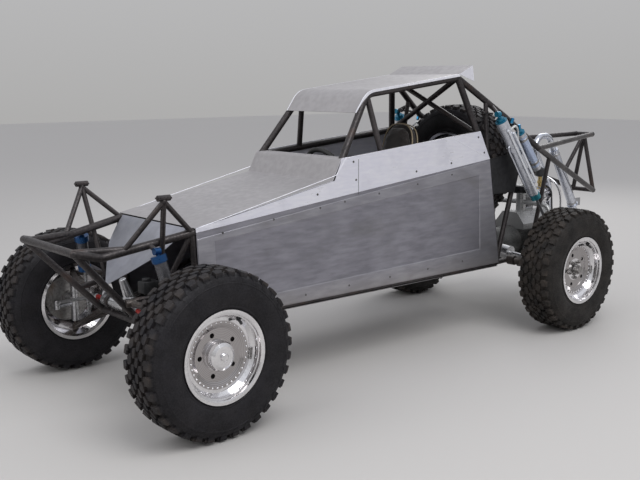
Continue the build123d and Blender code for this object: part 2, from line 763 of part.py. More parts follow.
def rear_arm(frame_rear):
    """A semi-trailing arm of three tubes with the carrier for the hub and its shaft."""
    carrier_out = rear_track / 2 + hub_in - gap
    hub_c = Vector(rear_axle_x, carrier_out - 30, tyre_r)
    y = Vector(0, 1, 0)
    outer_pivot = aft(-212, 392, sill_up + 4)
    inner_pivot = aft(0, 305, 352)
    pieces = [rod(hub_c - y * 30, hub_c + y * 30, 58),
              rod(outer_pivot, hub_c, 25), rod(inner_pivot, hub_c - Vector(0, 0, 26), 16),
              rod(outer_pivot, hub_c + Vector(0, -8, 36), 14),
              rod(hub_c + Vector(0, 0, 30), rear_shock_foot, 14),
              eye(outer_pivot, y, 29, 48), eye(inner_pivot, y, 21, 40)]
    whole = weld(pieces)
    whole = whole - rod(hub_c - y * 120, hub_c + y * 31, shaft_r + 10)
    return cope(whole, frame_rear)


# Power unit and drive
shaft_r = 16.0
shaft_up = transaxle_up - 15
head_low = 370.0
head_h = 150.0
port_side = 290.0          # exhaust ports, from the middle
crank_up = 455.0
barrel_r = 48.0
fin = 118.0                # side of the square cooling fins
fin_t = 3.5
fin_pitch = 14.0
pulley_back = engine_rear + 15
pulley_w = 20.0


def transaxle():
    """Bell housing and gearbox in line, with a boss for each drive shaft."""
    nose_up = transaxle_up - 20
    parts = [rod(aft(engine_front, 0, transaxle_up), aft(-50, 0, transaxle_up), transaxle_r),
             rod(aft(-40, 0, nose_up), aft(-130, 0, nose_up), 76),
             rod(aft(0, -150, shaft_up), aft(0, 150, shaft_up), 52)]
    return weld(parts)


def engine():
    """A flat four: cornered case, four finned barrels, finned heads with their covers,
    the intake over the case and the crank pulley."""
    length = engine_rear - engine_front
    middle = (engine_front + engine_rear) / 2
    half = [(120, engine_low + 45), (120, engine_high - 75), (62, engine_high), (0, engine_high)]
    left = [(0, engine_low), (75, engine_low)] + half
    points = [aft(engine_rear, side, up) for side, up in left]
    points += [flip(point) for point in reversed(points[1:-1])]
    pieces = [Solid.extrude(Face(Wire.make_polygon(points, close=True)), Vector(length, 0, 0))]
    banks = []
    for past in (middle - 60, middle + 90):
        banks.append(rod(aft(past, 115, crank_up), aft(past, 225, crank_up), barrel_r))
        for index in range(6):
            fin_y = 132 + index * fin_pitch
            banks.append((Pos(aft(past, fin_y, crank_up)) * Box(fin, fin_t, fin)).solid())
    head_c = aft(middle + 15, 268, head_low + head_h / 2)
    banks.append((Pos(head_c) * Box(276, 96, head_h)).solid())
    for index in range(7):
        rib_up = head_low + 15 + index * 20
        banks.append((Pos(aft(middle + 15, 271, rib_up)) * Box(292, 98, 4)).solid())
    cover = Pos(aft(middle + 15, 340, head_low + head_h / 2 - 6)) * Box(262, 56, 96)
    banks.append(fillet(cover.edges().filter_by(Axis.X), 16).solid())
    intake_past = middle - 60
    top = aft(intake_past, 0, engine_high + 62)
    banks.append(bent_rod([aft(intake_past, 262, head_low + head_h - 6), aft(intake_past, 225, top.Z - 8), top],
                          17, 55))
    pieces += banks + [flip_solid(piece) for piece in banks]
    pieces += [rod(aft(intake_past, 0, engine_high - 5), top + Vector(0, 0, 70), 34),
               rod(top + Vector(0, 0, 62), top + Vector(0, 0, 118), 76),
               rod(aft(engine_rear - 5, 0, crank_up), aft(pulley_back + pulley_w, 0, crank_up), 22),
               rod(aft(pulley_back, 0, crank_up), aft(pulley_back + pulley_w, 0, crank_up), 78)]
    return weld(pieces)


def alternator():
    """The alternator on its stand over the case, with its pulley in the crank pulley's plane."""
    unit_up = engine_high + 90
    back = engine_rear - 108
    base = (Pos(aft(back, 0, engine_high + gap + 30)) * Box(90, 70, 60)).solid()
    return weld([rod(aft(back - 50, 0, unit_up), aft(back + 60, 0, unit_up), 58),
                 rod(aft(back + 50, 0, unit_up), aft(back + 85, 0, unit_up), 62),
                 rod(aft(back, 0, unit_up), aft(pulley_back + pulley_w, 0, unit_up), 12),
                 rod(aft(pulley_back, 0, unit_up), aft(pulley_back + pulley_w, 0, unit_up), 60), base])


def drive_shaft(gearbox):
    inner = aft(0, 150 + gap, shaft_up)
    outer = Vector(rear_axle_x, rear_track / 2 + hub_in - 44, tyre_r)
    along = (outer - inner).normalized()
    return cope(weld([rod(inner, outer, shaft_r), rod(inner, inner + along * 70, 46)]), gearbox)


pipe_r = 21.0
# Pipes of one bank: port behind the rear axle, lowest height, then the rear turn behind the axle, side, height
primary_table = [
    (395, 285, 738, 255, 315),
    (545, 324, 708, 200, 356),
]


def exhaust():
    """The header: two pipes from each bank to the collector, which rises and bends over."""
    collector = aft(tail_reach - 451, 0, 610)
    crest = 1142
    down = (muffler_low - muffler_top).normalized()
    over = muffler_top - down * ((crest - muffler_top.Z) / -down.Z)
    bend = aft(tail_reach - 461, 0, 790)
    lead = aft(tail_reach - 708, 0, crest)
    pieces = [rod(collector - Vector(0, 0, 60), collector + Vector(0, 0, 20), 31),
              bent_rod([collector, bend, lead, over, muffler_top], pipe_r, 80)]
    for port, low, turn, side, up in primary_table:
        way = [aft(port, port_side, head_low - gap), aft(port, port_side, low), aft(turn, side, up),
               collector + Vector(-4, 12, -40)]
        pieces += both(bent_rod(way, pipe_r - 2, 28))
    return weld(pieces)


def muffler():
    """The silencer's case with its tail flange and short tip."""
    tip = blend(muffler_top, muffler_low, 1.14)
    return weld([rod(blend(muffler_top, muffler_low, 0.001), muffler_low, muffler_r),
                 rod(muffler_low, blend(muffler_top, muffler_low, 1.02), 41), rod(muffler_low, tip, 22)])


def seat():
    """A bucket seat: a pan with raised sides on the floor's cross tube, and a back with
    bolsters that narrows to the head."""
    pan_low = sill_up + brace_r + gap
    front = seam_rear_back - 885
    length = 450
    wide = 420
    wall = 34
    pan_back = front + length
    middle = front + length / 2
    pieces = [(Pos(at(middle, 0, pan_low + 25)) * Box(length, wide, 50)).solid()]
    side = [at(front, 0, pan_low), at(front, 0, pan_low + 85), at(front + 150, 0, pan_low + 110),
            at(pan_back, 0, pan_low + 190), at(pan_back, 0, pan_low)]
    wing = Solid.extrude(Face(Wire.make_polygon(side, close=True)), Vector(0, wall, 0))
    pieces += both(wing.moved(Location((0, wide / 2 - wall, 0))))
    low = at(pan_back - 40, 0, pan_low)
    rake = (at(pan_back + 90, 0, pan_low + 752) - low).normalized()
    facing = Plane(origin=low, x_dir=Vector(0, 1, 0), z_dir=Vector(0, 1, 0).cross(rake))
    outline = FilletPolyline((-wide / 2, 0), (wide / 2, 0), (wide / 2, 520), (140, 640), (128, 760),
                             (-128, 760), (-140, 640), (-wide / 2, 520), radius=[12, 12, 60, 40, 95, 95, 40, 60],
                             close=True)
    back = extrude(facing * make_face(outline), amount=46)
    pieces.append(back.solid())
    bolster = facing * Pos(wide / 2 - wall / 2, 265, 0) * Box(wall, 470, 230)
    pieces += both(bolster.solid())
    return weld(pieces)


def main():
    frame_floor, frame_cabin, frame_nose, frame_rear = frames()
    keep("frame_floor", frame_floor)
    keep("frame_cabin", frame_cabin)
    keep("frame_nose", frame_nose)
    keep("frame_rear", frame_rear)
    upper, lower = side_panels()
    keep("side_panel_upper_left", upper)
    keep("side_panel_upper_right", mirror(upper, about=Plane.XZ))
    keep("side_panel_lower_left", lower)
    keep("side_panel_lower_right", mirror(lower, about=Plane.XZ))
    keep("hood_panel", hood())
    keep("roof_panel", roof())
    keep("nose_panel", nose_panel())
    keep("rear_side_panels", both(rear_side_panel()))
    keep("floor_panel", floor_panel())
    keep("firewall", firewall())
    keep("seat", seat())
    rims = {True: rim(True), False: rim(False)}
    brakes = {True: brake(False), False: brake(True)}
    tyre_solid = tyre()
    for name, x, side, left in wheel_places:
        front = x == front_axle_x
        keep("rim_" + name, place_wheel(rims[front], x, side, left))
        keep("tyre_" + name, place_wheel(tyre_solid, x, side, left))
        keep("brake_" + name, place_wheel(brakes[front], x, side, left))
    stand_up = Pos(at(spare_back, 0, spare_up)) * Rot(0, -90, 0)
    keep("spare_rim", stand_up * rims[False])
    keep("spare_tyre", stand_up * tyre_solid)
    keep("spare_carrier", spare_carrier(frame_cabin))
    upper_arm, lower_arm = front_arms(frame_nose, frame_floor)
    keep("front_arms", both(upper_arm) + both(lower_arm))
    for name, piece in zip(("knuckle_left", "knuckle_right"), both(knuckle())):
        keep(name, piece)
    housing, bar = rack()
    keep("rack_housing", housing)
    keep("rack_mounts", rack_mounts(frame_nose))
    keep("rack_bar", bar)
    keep("tie_rods", both(tie_rod()))
    keep("steering_column", column())
    keep("steering_wheel", steering_wheel())
    front_shock = shock(front_shock_top, front_shock_foot, front_shock_table, frame_nose, lower_arm, upper_arm)
    keep("front_shocks", both(front_shock))
    trailing = rear_arm(frame_rear)
    keep("rear_arms", both(trailing))
    rear_shock = weld([shock(rear_shock_top, rear_shock_foot, rear_shock_table)]
                      + bypass_tubes(rear_shock_top, rear_shock_foot))
    keep("rear_shocks", both(cope(rear_shock, frame_rear, trailing)) + both(reservoir(frame_rear)))
    gearbox = transaxle()
    keep("transaxle", gearbox)
    keep("drive_shafts", both(drive_shaft(gearbox)))
    keep("engine", engine())
    keep("alternator", alternator())
    keep("exhaust_header", exhaust())
    keep("muffler", muffler())


main()
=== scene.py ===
import math

import bmesh
import bpy
from mathutils import Matrix, Vector


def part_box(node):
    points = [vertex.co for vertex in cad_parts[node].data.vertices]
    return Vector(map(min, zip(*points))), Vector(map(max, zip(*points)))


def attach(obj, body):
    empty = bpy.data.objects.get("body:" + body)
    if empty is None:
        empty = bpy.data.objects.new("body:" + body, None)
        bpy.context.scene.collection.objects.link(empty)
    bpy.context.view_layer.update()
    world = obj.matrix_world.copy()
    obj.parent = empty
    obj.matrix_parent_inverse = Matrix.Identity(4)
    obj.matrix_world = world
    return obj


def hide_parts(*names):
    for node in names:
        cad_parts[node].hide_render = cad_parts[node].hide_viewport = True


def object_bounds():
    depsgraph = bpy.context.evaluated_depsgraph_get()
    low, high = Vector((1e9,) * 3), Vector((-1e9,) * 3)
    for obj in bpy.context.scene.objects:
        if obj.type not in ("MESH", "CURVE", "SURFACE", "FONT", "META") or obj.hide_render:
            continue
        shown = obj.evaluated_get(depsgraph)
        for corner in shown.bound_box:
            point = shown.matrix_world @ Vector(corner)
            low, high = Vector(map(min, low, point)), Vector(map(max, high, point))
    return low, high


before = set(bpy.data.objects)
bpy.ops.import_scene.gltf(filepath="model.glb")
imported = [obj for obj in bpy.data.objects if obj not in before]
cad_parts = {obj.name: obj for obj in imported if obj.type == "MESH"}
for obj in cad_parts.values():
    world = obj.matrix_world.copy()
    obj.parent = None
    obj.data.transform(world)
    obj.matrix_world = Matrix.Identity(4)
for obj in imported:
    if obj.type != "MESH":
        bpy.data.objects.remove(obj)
cad_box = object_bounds()

X = Vector((1, 0, 0))
Y = Vector((0, 1, 0))
Z = Vector((0, 0, 1))


# Measures read from the frame
def centre(node):
    low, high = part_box(node)
    return (Vector(low) + Vector(high)) / 2


def width(node):
    low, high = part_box(node)
    return high[1] - low[1]


front_axle_x = centre("tyre_front_left").x
rear_axle_x = centre("tyre_rear_left").x
axle_up = 0.375                         # height of all four axles
dish = 0.060                            # depth of the wheel's disc below the rim's edge
disc_up = width("rim_front_left") / 2 - dish    # outer face of the disc, from the wheel's middle
rivet_up = disc_up + 0.009              # flat under the rivets
bore_r = 0.036                          # open centre of the rear wheels
crank_up = 0.455                        # height of the engine's crank pulley
alternator_up = 0.725


def at(back, side, up):
    """A point in metres by its distance behind the front axle, side and height."""
    return Vector((front_axle_x - back, side, up))


def flip(point):
    return Vector((point[0], -point[1], point[2]))


def side_half(back):
    """Half width of the body at the tube centres."""
    return 0.331 + 0.027 * (back - 0.144) / 2.101


# Tube centre to the outer face of a side panel
panel_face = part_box("side_panel_upper_left")[1][1] - side_half(2.245)


def on_panel(back, up, lift=0.0):
    """A point on the left side panel's outer face."""
    return at(back, side_half(back) + panel_face + lift, up)


# Materials: each is a Principled shader with noise for tone, roughness and relief
def add_node(tree, kind, **inputs):
    """A shader node with its named inputs set; a socket given as a value is linked."""
    item = tree.nodes.new(kind)
    for name, value in inputs.items():
        socket = item.inputs[name.replace("_", " ")]
        if isinstance(value, bpy.types.NodeSocket):
            tree.links.new(value, socket)
        else:
            socket.default_value = value
    return item


def operate(tree, kind, operation, *values):
    """The outputs of a maths node that works on the values in turn."""
    item = tree.nodes.new(kind)
    item.operation = operation
    for index, value in enumerate(values):
        if isinstance(value, bpy.types.NodeSocket):
            tree.links.new(value, item.inputs[index])
        else:
            item.inputs[index].default_value = value
    return item.outputs


def maths(tree, operation, first, second=0.0):
    return operate(tree, "ShaderNodeMath", operation, first, second)[0]


def noise(tree, scale, detail=4.0, stretch=(1, 1, 1), turn=(0, 0, 0)):
    place = add_node(tree, "ShaderNodeTexCoord")
    mapping = add_node(tree, "ShaderNodeMapping", Vector=place.outputs["Object"], Scale=stretch,
                       Rotation=turn)
    texture = add_node(tree, "ShaderNodeTexNoise", Vector=mapping.outputs["Vector"], Scale=scale,
                       Detail=detail)
    return texture.outputs["Fac"]


def band(tree, value, low, high, to_low=0.0, to_high=1.0):
    """Map a stretch of a value to a new range, held at both ends."""
    return add_node(tree, "ShaderNodeMapRange", Value=value, From_Min=low, From_Max=high,
                    To_Min=to_low, To_Max=to_high).outputs["Result"]


def inside(tree, value, start, soft_start, soft_end, end):
    """1 between the soft ends of a stretch and 0 outside it."""
    rise = band(tree, value, start, soft_start)
    return maths(tree, "MULTIPLY", rise, band(tree, value, soft_end, end, 1.0, 0.0))


def mix(tree, share, first, second):
    item = tree.nodes.new("ShaderNodeMix")
    item.data_type = "RGBA"
    for index, value in ((0, share), (6, first), (7, second)):
        if isinstance(value, bpy.types.NodeSocket):
            tree.links.new(value, item.inputs[index])
        else:
            item.inputs[index].default_value = value if index == 0 else (*value, 1.0)
    return item.outputs[2]


def axes(tree):
    """The three coordinates of a point on the piece, in metres."""
    place = add_node(tree, "ShaderNodeTexCoord")
    split = add_node(tree, "ShaderNodeSeparateXYZ", Vector=place.outputs["Object"])
    return split.outputs[0], split.outputs[1], split.outputs[2]


def along(tree, start, end):
    """Share of the way from start to end, on the left or the right side alike."""
    x, y, z = axes(tree)
    way = (end - start) / (end - start).length_squared
    total = 0.0
    for value, low, step in zip((x, maths(tree, "ABSOLUTE", y), z), start, way):
        total = maths(tree, "ADD", total, maths(tree, "MULTIPLY", maths(tree, "SUBTRACT", value, low), step))
    return total


def from_line(tree, start, end):
    """Distance from the line between two points, on the left or the right side alike."""
    x, y, z = axes(tree)
    join = add_node(tree, "ShaderNodeCombineXYZ", X=x, Y=maths(tree, "ABSOLUTE", y), Z=z)
    offset = operate(tree, "ShaderNodeVectorMath", "SUBTRACT", join.outputs[0], start)[0]
    way = (end - start).normalized()
    cross = operate(tree, "ShaderNodeVectorMath", "CROSS_PRODUCT", offset, way)[0]
    return operate(tree, "ShaderNodeVectorMath", "LENGTH", cross)["Value"]


def surface(name, dark, light, rough=(0.4, 0.6), metallic=0.0, cloud=3.0, grain=60.0, relief=0.1,
            stretch=(1, 1, 1), turn=(0, 0, 0), patch=None, patch_at=(0.58, 0.7), patch_scale=6.0,
            coat=0.0, sheen=0.0, paint=None, scratch=0.0, gloss=0.5):
    """A worn surface: two tones in clouds and grain, patches of a third, fine relief and scratches.

    The paint function takes the tree and the colour and returns a new colour.
    """
    material = bpy.data.materials.new(name)
    material.use_nodes = True
    tree = material.node_tree
    shader = tree.nodes["Principled BSDF"]
    broad = noise(tree, cloud, 5.0)
    fine = noise(tree, grain, 3.0, stretch, turn)
    both = maths(tree, "ADD", broad, fine)
    tone = band(tree, both, 0.78, 1.22)
    colour = mix(tree, tone, dark, light)
    roughness = band(tree, both, 0.75, 1.25, rough[1], rough[0])
    if patch:
        share = band(tree, noise(tree, patch_scale, 8.0), patch_at[0], patch_at[1])
        colour = mix(tree, share, colour, patch)
    if scratch:
        lines = band(tree, noise(tree, 26.0, 2.0, (0.25, 1, 9), (0.3, 0.2, 0.1)), 0.63, 0.68)
        colour = mix(tree, maths(tree, "MULTIPLY", lines, scratch), colour, light)
        roughness = maths(tree, "SUBTRACT", roughness, maths(tree, "MULTIPLY", lines, scratch * 0.3))
    if paint:
        colour = paint(tree, colour)
    tree.links.new(colour, shader.inputs["Base Color"])
    tree.links.new(roughness, shader.inputs["Roughness"])
    shader.inputs["Metallic"].default_value = metallic
    shader.inputs["Coat Weight"].default_value = coat
    shader.inputs["Sheen Weight"].default_value = sheen
    shader.inputs["Specular IOR Level"].default_value = gloss
    bump = add_node(tree, "ShaderNodeBump", Height=fine, Strength=relief, Distance=0.002)
    tree.links.new(bump.outputs["Normal"], shader.inputs["Normal"])
    material.diffuse_color = (*light, 1.0)
    return material


# Shock absorbers take their colours by place along their own line
front_shock = (at(-0.066, 0.366, 0.782), at(0.016, 0.478, 0.309))
rear_shock = (at(2.262, 0.417, 1.330), at(2.716, 0.478, 0.637))
reservoir = (at(2.505, 0.397, 1.215), at(2.695, 0.397, 0.980))
blue = (0.02, 0.17, 0.27)
teal = (0.025, 0.19, 0.24)
navy = (0.012, 0.06, 0.17)
silver = (0.5, 0.5, 0.53)


def step_colour(tree, share, start, end, colour, paint):
    """Paint the stretch of a share between start and end."""
    soft = 0.002
    stretch = inside(tree, share, start - soft, start + soft, end - soft, end + soft)
    return mix(tree, stretch, colour, paint)


def rear_shock_paint(tree, colour):
    """Blue cap, teal lower ring, grey foot, brighter bypass tubes and a pale blue reservoir."""
    share = along(tree, *rear_shock)
    colour = step_colour(tree, share, -0.1, 0.062, colour, blue)
    colour = step_colour(tree, share, 0.717, 0.762, colour, teal)
    colour = step_colour(tree, share, 0.765, 1.1, colour, (0.16, 0.16, 0.17))
    bypass = inside(tree, from_line(tree, *rear_shock), 0.0376, 0.0382, 0.06, 0.062)
    colour = mix(tree, bypass, colour, (0.74, 0.76, 0.8))
    tank = along(tree, *reservoir)
    near_tank = band(tree, from_line(tree, *reservoir), 0.034, 0.036, 1.0, 0.0)
    tank_colour = step_colour(tree, tank, -0.05, 0.03, silver, blue)
    tank_colour = step_colour(tree, tank, 0.105, 0.915, tank_colour, (0.45, 0.52, 0.68))
    return mix(tree, near_tank, colour, tank_colour)


def front_shock_paint(tree, colour):
    """Dark blue cap and lower ring, and a grey rod."""
    share = along(tree, *front_shock)
    colour = step_colour(tree, share, -0.1, 0.11, colour, navy)
    colour = step_colour(tree, share, 0.385, 0.445, colour, navy)
    return step_colour(tree, share, 0.45, 1.1, colour, (0.3, 0.3, 0.31))


def red_ends(tree, colour):
    """The caps at the rack bar's ends are red."""
    y = axes(tree)[1]
    return mix(tree, band(tree, maths(tree, "ABSOLUTE", y), 0.165, 0.167), colour, (0.42, 0.025, 0.02))


def reach_of(tree, first, second):
    """Length of the two values taken as the sides of a right angle."""
    squares = [maths(tree, "MULTIPLY", value, value) for value in (first, second)]
    return maths(tree, "SQRT", maths(tree, "ADD", *squares))


def tread_dust(amount, side_amount):
    """Dust that lies in the tread and, less, on the sidewall."""
    def paint(tree, colour):
        cloud = band(tree, noise(tree, 14.0, 6.0), 0.36, 0.68)
        x, y = axes(tree)[:2]
        reach = reach_of(tree, x, y)
        worn = band(tree, reach, 0.3665, 0.3745, 1.0, 0.5)
        low = maths(tree, "MULTIPLY", band(tree, reach, 0.352, 0.366), worn)
        share = maths(tree, "ADD", maths(tree, "MULTIPLY", low, amount), side_amount)
        return mix(tree, maths(tree, "MULTIPLY", share, cloud), colour, (0.10, 0.08, 0.066))
    return paint


def heat_stain(tree, colour):
    """Brown tints on the exhaust's steel."""
    warm = band(tree, noise(tree, 5.0, 3.0), 0.5, 0.75)
    return mix(tree, maths(tree, "MULTIPLY", warm, 0.2), colour, (0.42, 0.36, 0.3))


def smudges(tree, colour):
    """Hand marks and dull runs on bare sheet."""
    marks = band(tree, noise(tree, 5.5, 9.0, (0.6, 1, 1.6)), 0.55, 0.72)
    colour = mix(tree, maths(tree, "MULTIPLY", marks, 0.55), colour, (0.19, 0.185, 0.19))
    z = axes(tree)[2]
    return mix(tree, band(tree, z, 0.40, 0.50, 0.35, 0.0), colour, (0.3, 0.27, 0.23))


def engine_tones(tree, colour):
    """Bright rocker covers and intake, a dark foam air cleaner under its bright lid."""
    y, z = axes(tree)[1:]
    colour = mix(tree, band(tree, maths(tree, "ABSOLUTE", y), 0.313, 0.316), colour, (0.62, 0.62, 0.62))
    colour = mix(tree, band(tree, z, 0.522, 0.524), colour, (0.4, 0.4, 0.4))
    return mix(tree, inside(tree, z, 0.762, 0.763, 0.806, 0.807), colour, (0.02, 0.02, 0.022))


def painted_fold_highlight(tree, colour):
    """Painted highlight: the folded edges of a sheet, which face sideways, are painted near white as if they
    caught the light.
    """
    place = add_node(tree, "ShaderNodeTexCoord")
    split = add_node(tree, "ShaderNodeSeparateXYZ", Vector=place.outputs["Normal"])
    # Faces whose normal points sideways take the painted highlight colour
    sideways = band(tree, maths(tree, "ABSOLUTE", split.outputs[1]), 0.6, 0.8)
    return mix(tree, sideways, colour, (0.78, 0.78, 0.84))


def wheel_tones(axle_x):
    """The turned disc inside the rivets is duller and warmer than the polished cap and barrel."""
    def paint(tree, colour):
        x, _, z = axes(tree)
        reach = reach_of(tree, maths(tree, "SUBTRACT", x, axle_x), maths(tree, "SUBTRACT", z, axle_up))
        rings = band(tree, maths(tree, "SINE", maths(tree, "MULTIPLY", reach, 900.0)), -1.0, 1.0)
        turned = mix(tree, rings, (0.33, 0.31, 0.31), (0.46, 0.44, 0.435))
        return mix(tree, inside(tree, reach, 0.0665, 0.0675, 0.150, 0.152), colour, turned)
    return paint


brush = (1, 1, 5)
raw_tube = surface("raw_tube", (0.022, 0.019, 0.02), (0.062, 0.054, 0.054), (0.28, 0.48), 0.5,
                   5.0, 90.0, 0.08, patch=(0.075, 0.046, 0.034), patch_at=(0.6, 0.78), scratch=0.4)
bright_sheet = surface("bright_sheet", (0.82, 0.82, 0.91), (0.93, 0.93, 1.0), (0.3, 0.48), 0.7,
                       2.2, 14.0, 0.02, brush, patch=(0.75, 0.75, 0.83), patch_at=(0.55, 0.75), scratch=0.2)
grey_sheet = surface("grey_sheet", (0.225, 0.22, 0.25), (0.31, 0.305, 0.345), (0.34, 0.54), 0.7,
                     2.6, 9.0, 0.02, brush, patch=(0.2, 0.197, 0.215), patch_at=(0.5, 0.78),
                     patch_scale=2.4, paint=smudges, scratch=0.12)
border_sheet = surface("border_sheet", (0.28, 0.275, 0.305), (0.37, 0.365, 0.4), (0.32, 0.5), 0.7,
                       2.6, 9.0, 0.02, brush, patch=(0.24, 0.237, 0.26), patch_at=(0.5, 0.78),
                       patch_scale=2.4, paint=smudges)
# Near-white sheet for the fold strips and lips along the roof rails and side panels: a painted highlight
painted_highlight_sheet = surface("painted_highlight_sheet", (0.8, 0.8, 0.87), (0.92, 0.92, 0.97), (0.25, 0.4), 0.4, 6.0, 60.0, 0.01)
nose_sheet = surface("nose_sheet", (0.27, 0.275, 0.31), (0.38, 0.385, 0.43), (0.34, 0.52), 0.7,
                     3.0, 14.0, 0.02, patch=(0.23, 0.233, 0.25), patch_at=(0.5, 0.78), patch_scale=4.0)
# Hood and roof sheet, with a painted highlight on its sideways-facing folds
dull_sheet = surface("dull_sheet", (0.335, 0.322, 0.328), (0.395, 0.38, 0.385), (0.46, 0.58), 0.5,
                     1.8, 30.0, 0.02, patch=(0.32, 0.308, 0.31), patch_at=(0.5, 0.8), patch_scale=2.2,
                     paint=painted_fold_highlight)
black_sheet = surface("black_sheet", (0.006, 0.006, 0.007), (0.015, 0.015, 0.017), (0.4, 0.6), 0.0,
                      3.0, 40.0, 0.05, gloss=0.3)
case_metal = surface("case_metal", (0.05, 0.05, 0.05), (0.14, 0.14, 0.135), (0.4, 0.65), 0.6,
                     9.0, 160.0, 0.4, patch=(0.03, 0.027, 0.024), patch_at=(0.52, 0.72))
polished = surface("polished", (0.74, 0.74, 0.76), (0.87, 0.87, 0.89), (0.05, 0.14), 1.0,
                   7.0, 120.0, 0.01, patch=(0.66, 0.63, 0.6), patch_at=(0.6, 0.85))
wheel_metal = {}
for axle_name, axle_x in (("front", front_axle_x), ("rear", rear_axle_x)):
    wheel_metal[axle_name] = surface("wheel_metal_" + axle_name, (0.7, 0.69, 0.7), (0.84, 0.83, 0.84),
                                     (0.06, 0.16), 1.0, 7.0, 120.0, 0.01, paint=wheel_tones(axle_x))
rubber = surface("rubber", (0.0065, 0.006, 0.0075), (0.015, 0.014, 0.017), (0.5, 0.72), 0.0,
                 9.0, 140.0, 0.2, paint=tread_dust(0.35, 0.03), gloss=0.25)
dusty_rubber = surface("dusty_rubber", (0.008, 0.0072, 0.0068), (0.019, 0.017, 0.016), (0.55, 0.8), 0.0,
                       9.0, 140.0, 0.2, paint=tread_dust(0.35, 0.10), gloss=0.25)
turned_steel = surface("turned_steel", (0.2, 0.19, 0.185), (0.4, 0.39, 0.38), (0.3, 0.5), 0.9,
                       8.0, 80.0, 0.1, patch=(0.16, 0.09, 0.05), patch_at=(0.6, 0.75))
machined = surface("machined", (0.36, 0.36, 0.37), (0.55, 0.55, 0.56), (0.22, 0.4), 0.95, 8.0, 110.0, 0.05)
red_rack = surface("red_rack", (0.36, 0.36, 0.37), (0.55, 0.55, 0.56), (0.22, 0.4), 0.6,
                   8.0, 110.0, 0.05, paint=red_ends)
engine_metal = surface("engine_metal", (0.07, 0.07, 0.068), (0.19, 0.19, 0.185), (0.25, 0.5), 0.8,
                       9.0, 120.0, 0.2, patch=(0.045, 0.042, 0.038), patch_at=(0.5, 0.7),
                       paint=engine_tones)
bright_pipe = surface("bright_pipe", (0.52, 0.54, 0.6), (0.76, 0.79, 0.86), (0.1, 0.24), 1.0,
                      6.0, 80.0, 0.02, paint=heat_stain)
seat_cloth = surface("seat_cloth", (0.012, 0.0095, 0.009), (0.03, 0.023, 0.021), (0.75, 0.95), 0.0,
                     12.0, 260.0, 0.5, sheen=0.3)
piping = surface("piping", (0.24, 0.19, 0.12), (0.38, 0.31, 0.21), (0.6, 0.8), 0.0, 14.0, 200.0, 0.3)
front_shock_look = surface("front_shock_look", (0.05, 0.05, 0.055), (0.11, 0.11, 0.12), (0.24, 0.4), 0.7,
                           8.0, 90.0, 0.04, paint=front_shock_paint)
rear_shock_look = surface("rear_shock_look", (0.47, 0.48, 0.52), (0.58, 0.6, 0.65), (0.2, 0.32), 0.6,
                          5.0, 40.0, 0.01, paint=rear_shock_paint)
grip = surface("grip", (0.012, 0.012, 0.012), (0.03, 0.03, 0.03), (0.5, 0.75), 0.0, 12.0, 200.0, 0.3)
arm_paint = surface("arm_paint", (0.03, 0.025, 0.024), (0.08, 0.067, 0.06), (0.33, 0.55), 0.45,
                    6.0, 90.0, 0.1, patch=(0.12, 0.07, 0.045), patch_at=(0.6, 0.76))
braid = surface("braid", (0.42, 0.42, 0.42), (0.78, 0.78, 0.76), (0.3, 0.5), 0.5, 30.0, 900.0, 0.9)
hose_black = surface("hose_black", (0.012, 0.012, 0.013), (0.03, 0.03, 0.032), (0.4, 0.6), 0.0,
                     20.0, 300.0, 0.2)
anodised = surface("anodised", (0.02, 0.16, 0.34), (0.04, 0.3, 0.5), (0.2, 0.34), 0.8, 12.0, 90.0, 0.02)
brass = surface("brass", (0.42, 0.3, 0.12), (0.6, 0.46, 0.2), (0.25, 0.4), 1.0, 14.0, 90.0, 0.05)
bolt_zinc = surface("bolt_zinc", (0.28, 0.28, 0.29), (0.55, 0.55, 0.56), (0.2, 0.4), 0.95, 40.0, 200.0, 0.05)
red_cap = surface("red_cap", (0.2, 0.02, 0.025), (0.34, 0.035, 0.04), (0.25, 0.4), 0.6, 20.0, 120.0, 0.03)
bolt_dark = surface("bolt_dark", (0.05, 0.048, 0.047), (0.13, 0.125, 0.12), (0.22, 0.4), 0.8,
                    40.0, 200.0, 0.05)
dark_gap = surface("dark_gap", (0.012, 0.012, 0.013), (0.02, 0.02, 0.022), (0.7, 0.9), 0.0,
                   20.0, 100.0, 0.05)

# Each node takes the look whose key starts its name
node_look = {
    "frame_": raw_tube, "side_panel_upper": bright_sheet, "side_panel_lower": grey_sheet,
    "hood_panel": dull_sheet, "roof_panel": dull_sheet, "nose_panel": nose_sheet,
    "rear_side_panels": black_sheet, "floor_panel": grey_sheet, "firewall": grey_sheet, "seat": seat_cloth,
    "rim_front": wheel_metal["front"], "rim_rear": wheel_metal["rear"], "spare_rim": polished,
    "tyre_": rubber, "spare_tyre": rubber, "spare_carrier": raw_tube, "brake_": turned_steel,
    "front_arms": arm_paint, "rear_arms": arm_paint, "knuckle": machined, "rack_housing": machined,
    "rack_mounts": raw_tube, "rack_bar": red_rack, "tie_rods": machined, "steering_column": raw_tube,
    "steering_wheel": grip, "front_shocks": front_shock_look, "rear_shocks": rear_shock_look,
    "transaxle": case_metal, "drive_shafts": machined, "engine": engine_metal, "alternator": polished,
    "exhaust_header": bright_pipe, "muffler": bright_pipe,
}
for node_name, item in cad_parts.items():
    look = next(value for key, value in node_look.items() if node_name.startswith(key))
    item.data.materials.clear()
    item.data.materials.append(look)


# Mesh helpers
def link(name, data, look, body, place=None):
    """Make an object of a mesh or curve, finish it and let it ride a body."""
    item = bpy.data.objects.new(name, data)
    bpy.context.collection.objects.link(item)
    if place is not None:
        item.matrix_world = place
    if look is not None:
        data.materials.clear()
        data.materials.append(look)
    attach(item, body)
    return item


def close_mesh(bm, name, angle=35):
    """Turn a bmesh into a mesh, smooth but for edges sharper than the angle."""
    bmesh.ops.recalc_face_normals(bm, faces=bm.faces)
    mesh = bpy.data.meshes.new(name)
    bm.to_mesh(mesh)
    bm.free()
    mesh.shade_smooth()
    mesh.set_sharp_from_angle(angle=math.radians(angle))
    return mesh


